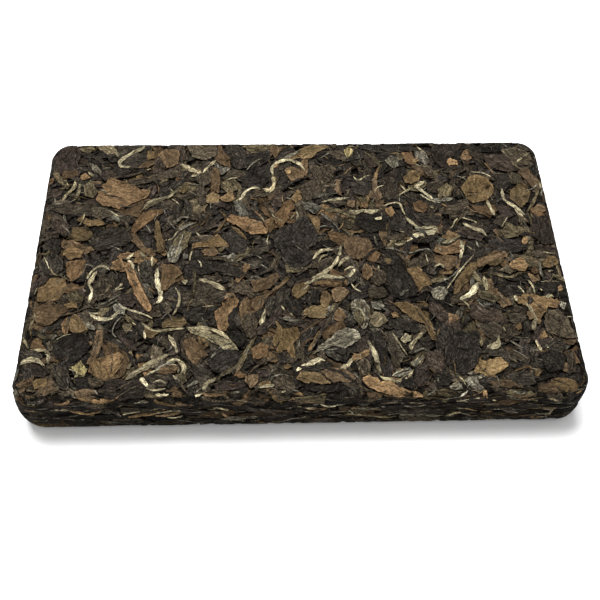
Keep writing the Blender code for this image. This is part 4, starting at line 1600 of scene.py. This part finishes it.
def layered_edges(pile):
    """Thin wavy edges, one layer over another, all round the brick."""
    for layer in range(LAYERS):
        rise = LAYER_MARGIN + (HEIGHT - 2 * LAYER_MARGIN) * (layer + 0.5) / LAYERS
        spot = random.uniform(0, 10)
        while spot < GIRTH:
            length = random.uniform(*LAYER_LENGTHS)
            steps = max(3, int(length / 4))
            u = spot + np.linspace(0, length, steps)
            v = rise + random.normal(0, LAYER_WAVE, steps) + random.normal(0, LAYER_SHIFT)
            v = v + np.linspace(-1, 1, steps) * random.normal(0, LAYER_TILT)
            kind = any_kind(FILL_SHARES)
            half_width = random.uniform(*LAYER_HALF_WIDTHS)
            # The side's shade is painted into their tone.
            tone = tone_of(kind, light=ON_SIDE_WITH_PAINTED_SHADE)
            depth = LAYER_DEPTH + abs(random.normal(0, LAYER_DEPTH_SPREAD))
            lay_roll(pile, np.column_stack([u, v]), half_width, LAYER_HALF_HEIGHT, kind, tone, sides=6,
                     below=depth, step=LAYER_STEP)
            spot += length * random.uniform(*LAYER_SPACING)


side = Pile((-GIRTH_MARGIN, 0.0), (GIRTH + GIRTH_MARGIN, HEIGHT), all_round, turns_down=False)
# The side's shade is painted into the tone of its loose leaves.
fill(side, (0.0, SIDE_FILL_MARGIN), (GIRTH, HEIGHT - SIDE_FILL_MARGIN), SIDE_SPREAD, ON_SIDE_WITH_PAINTED_SHADE, SIDE_LEAN)
strands(side, (0.0, SIDE_STRAND_MARGIN), (GIRTH, HEIGHT - SIDE_STRAND_MARGIN), SIDE_STRAND_GAP,
        ON_STREAKS * STRAND_LIGHT, STRAND_LEAN)
layered_edges(side)
lay_by_hand(side, on_front, FRONT_SIDE, ON_STREAKS, STREAK_DEPTH)
for item in side.laid:
    item["points"][:, 1] = np.clip(item["points"][:, 1], SIDE_MARGIN, HEIGHT - SIDE_MARGIN)
press(side)


# --------------------------------------------------
# The pressed tea: steam and pressure have bound all the leaves into one mass. Each kind becomes
# one mesh, with every leaf's own plan as its UV map and every leaf's own tone as an attribute.
# --------------------------------------------------

def placed(name, data):
    """An object of a mesh or a light, in the scene."""
    obj = bpy.data.objects.new(name, data)
    bpy.context.scene.collection.objects.link(obj)
    return obj


def pressed_tea(obj):
    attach(obj, "root")
    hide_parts("tea_brick")


def joined(name, bag):
    """One mesh of all the leaves in a bag."""
    points, faces, uv, tone = (np.concatenate(bag[key]) for key in ("points", "faces", "uv", "tone"))
    mesh = bpy.data.meshes.new(name)
    mesh.vertices.add(len(points))
    mesh.vertices.foreach_set("co", (points * MM).ravel())
    mesh.loops.add(faces.size)
    mesh.loops.foreach_set("vertex_index", faces.astype(np.int32).ravel())
    mesh.polygons.add(len(faces))
    mesh.polygons.foreach_set("loop_start", np.arange(0, faces.size, 3, dtype=np.int32))
    mesh.polygons.foreach_set("use_smooth", np.full(len(faces), True))
    mesh.update(calc_edges=True)
    layer = mesh.uv_layers.new(name="UVMap")
    layer.data.foreach_set("uv", uv[faces.ravel()].ravel())
    colour = mesh.attributes.new("tone", "FLOAT_COLOR", "POINT")
    colour.data.foreach_set("color", np.column_stack([tone, np.ones(len(tone))]).ravel())
    mesh.validate()
    mesh.materials.append(materials[name])
    return mesh


for name, bag in bags.items():
    pressed_tea(placed(name, joined(name, bag)))


# --------------------------------------------------
# The core: the inside of the brick, solid with the same tea and its dust. It shows only between the leaves,
# painted nearly black for the shade there, and it lies a few millimetres inside the mould's walls.
# --------------------------------------------------

CORE_GAP = 3.2
CORE_EDGE = EDGE * 0.6


def plain_material(name, colour, roughness, gloss):
    """A material of one even colour."""
    material = bpy.data.materials.new(name)
    material.use_nodes = True
    shader = material.node_tree.nodes["Principled BSDF"]
    shader.inputs["Base Color"].default_value = (*linear(colour), 1.0)
    shader.inputs["Roughness"].default_value = roughness
    shader.inputs["Specular IOR Level"].default_value = gloss
    return material


def mesh_of(name, bm, material):
    mesh = bpy.data.meshes.new(name)
    bm.to_mesh(mesh)
    bm.free()
    mesh.materials.append(material)
    return mesh


def is_upright(edge):
    return abs(edge.verts[0].co.z - edge.verts[1].co.z) > 1e-6


bm = bmesh.new()
bmesh.ops.create_cube(bm, size=1.0)
core_size = Vector((LENGTH - 2 * CORE_GAP, DEPTH - 2 * CORE_GAP, HEIGHT - 2 * CORE_GAP)) * MM
bmesh.ops.scale(bm, vec=core_size, verts=bm.verts)
bmesh.ops.translate(bm, vec=(0, 0, HEIGHT / 2 * MM), verts=bm.verts)
bmesh.ops.bevel(bm, geom=[edge for edge in bm.edges if is_upright(edge)], offset=(CORNER - CORE_GAP) * MM,
                offset_type="OFFSET", affect="EDGES", segments=8, profile=0.5, material=-1)
bmesh.ops.bevel(bm, geom=[edge for edge in bm.edges if not is_upright(edge)], offset=CORE_EDGE * MM,
                offset_type="OFFSET", affect="EDGES", segments=2, profile=0.5, material=-1)
# Tea dust and broken leaf, pressed hard, painted nearly black for the shade between the leaves, and quite
# matt.
leaf_dust_painted_shade = plain_material("leaf_dust_painted_shade", "100e0c", roughness=0.95, gloss=0.0)
pressed_tea(placed("core", mesh_of("core", bm, leaf_dust_painted_shade)))


# --------------------------------------------------
# The table: a plain white board, painted matt. The brick lies flat on it, held by nothing.
# --------------------------------------------------

TABLE_HALF = 3.0

bm = bmesh.new()
bmesh.ops.create_grid(bm, x_segments=1, y_segments=1, size=TABLE_HALF)
white_table = plain_material("white_table", "f3f3f3", roughness=0.9, gloss=0.5)
placed("table", mesh_of("table", bm, white_table))


# --------------------------------------------------
# The studio light: one large softbox above and a little behind the brick, which gives the short
# soft shadow in front of it, and an even white room that fills the shade.
# --------------------------------------------------

KEY_PLACE = Vector((-0.15, 0.37, 1.08))
KEY_SIZE = (0.8, 0.6)
KEY_WATTS = 27.0
ROOM_LIGHT = 0.7

key_light = bpy.data.lights.new("key_light", "AREA")
key_light.shape = "RECTANGLE"
key_light.size, key_light.size_y = KEY_SIZE
key_light.energy = KEY_WATTS
softbox = placed("key_light", key_light)
softbox.location = KEY_PLACE
softbox.rotation_euler = (-KEY_PLACE).to_track_quat("-Z", "Y").to_euler()

world = bpy.data.worlds.new("studio")
bpy.context.scene.world = world
world.use_nodes = True
world.node_tree.nodes["Background"].inputs["Color"].default_value = (1.0, 1.0, 1.0, 1.0)
world.node_tree.nodes["Background"].inputs["Strength"].default_value = ROOM_LIGHT

bpy.context.scene.view_settings.view_transform = "Standard"
bpy.context.scene.view_settings.look = "None"
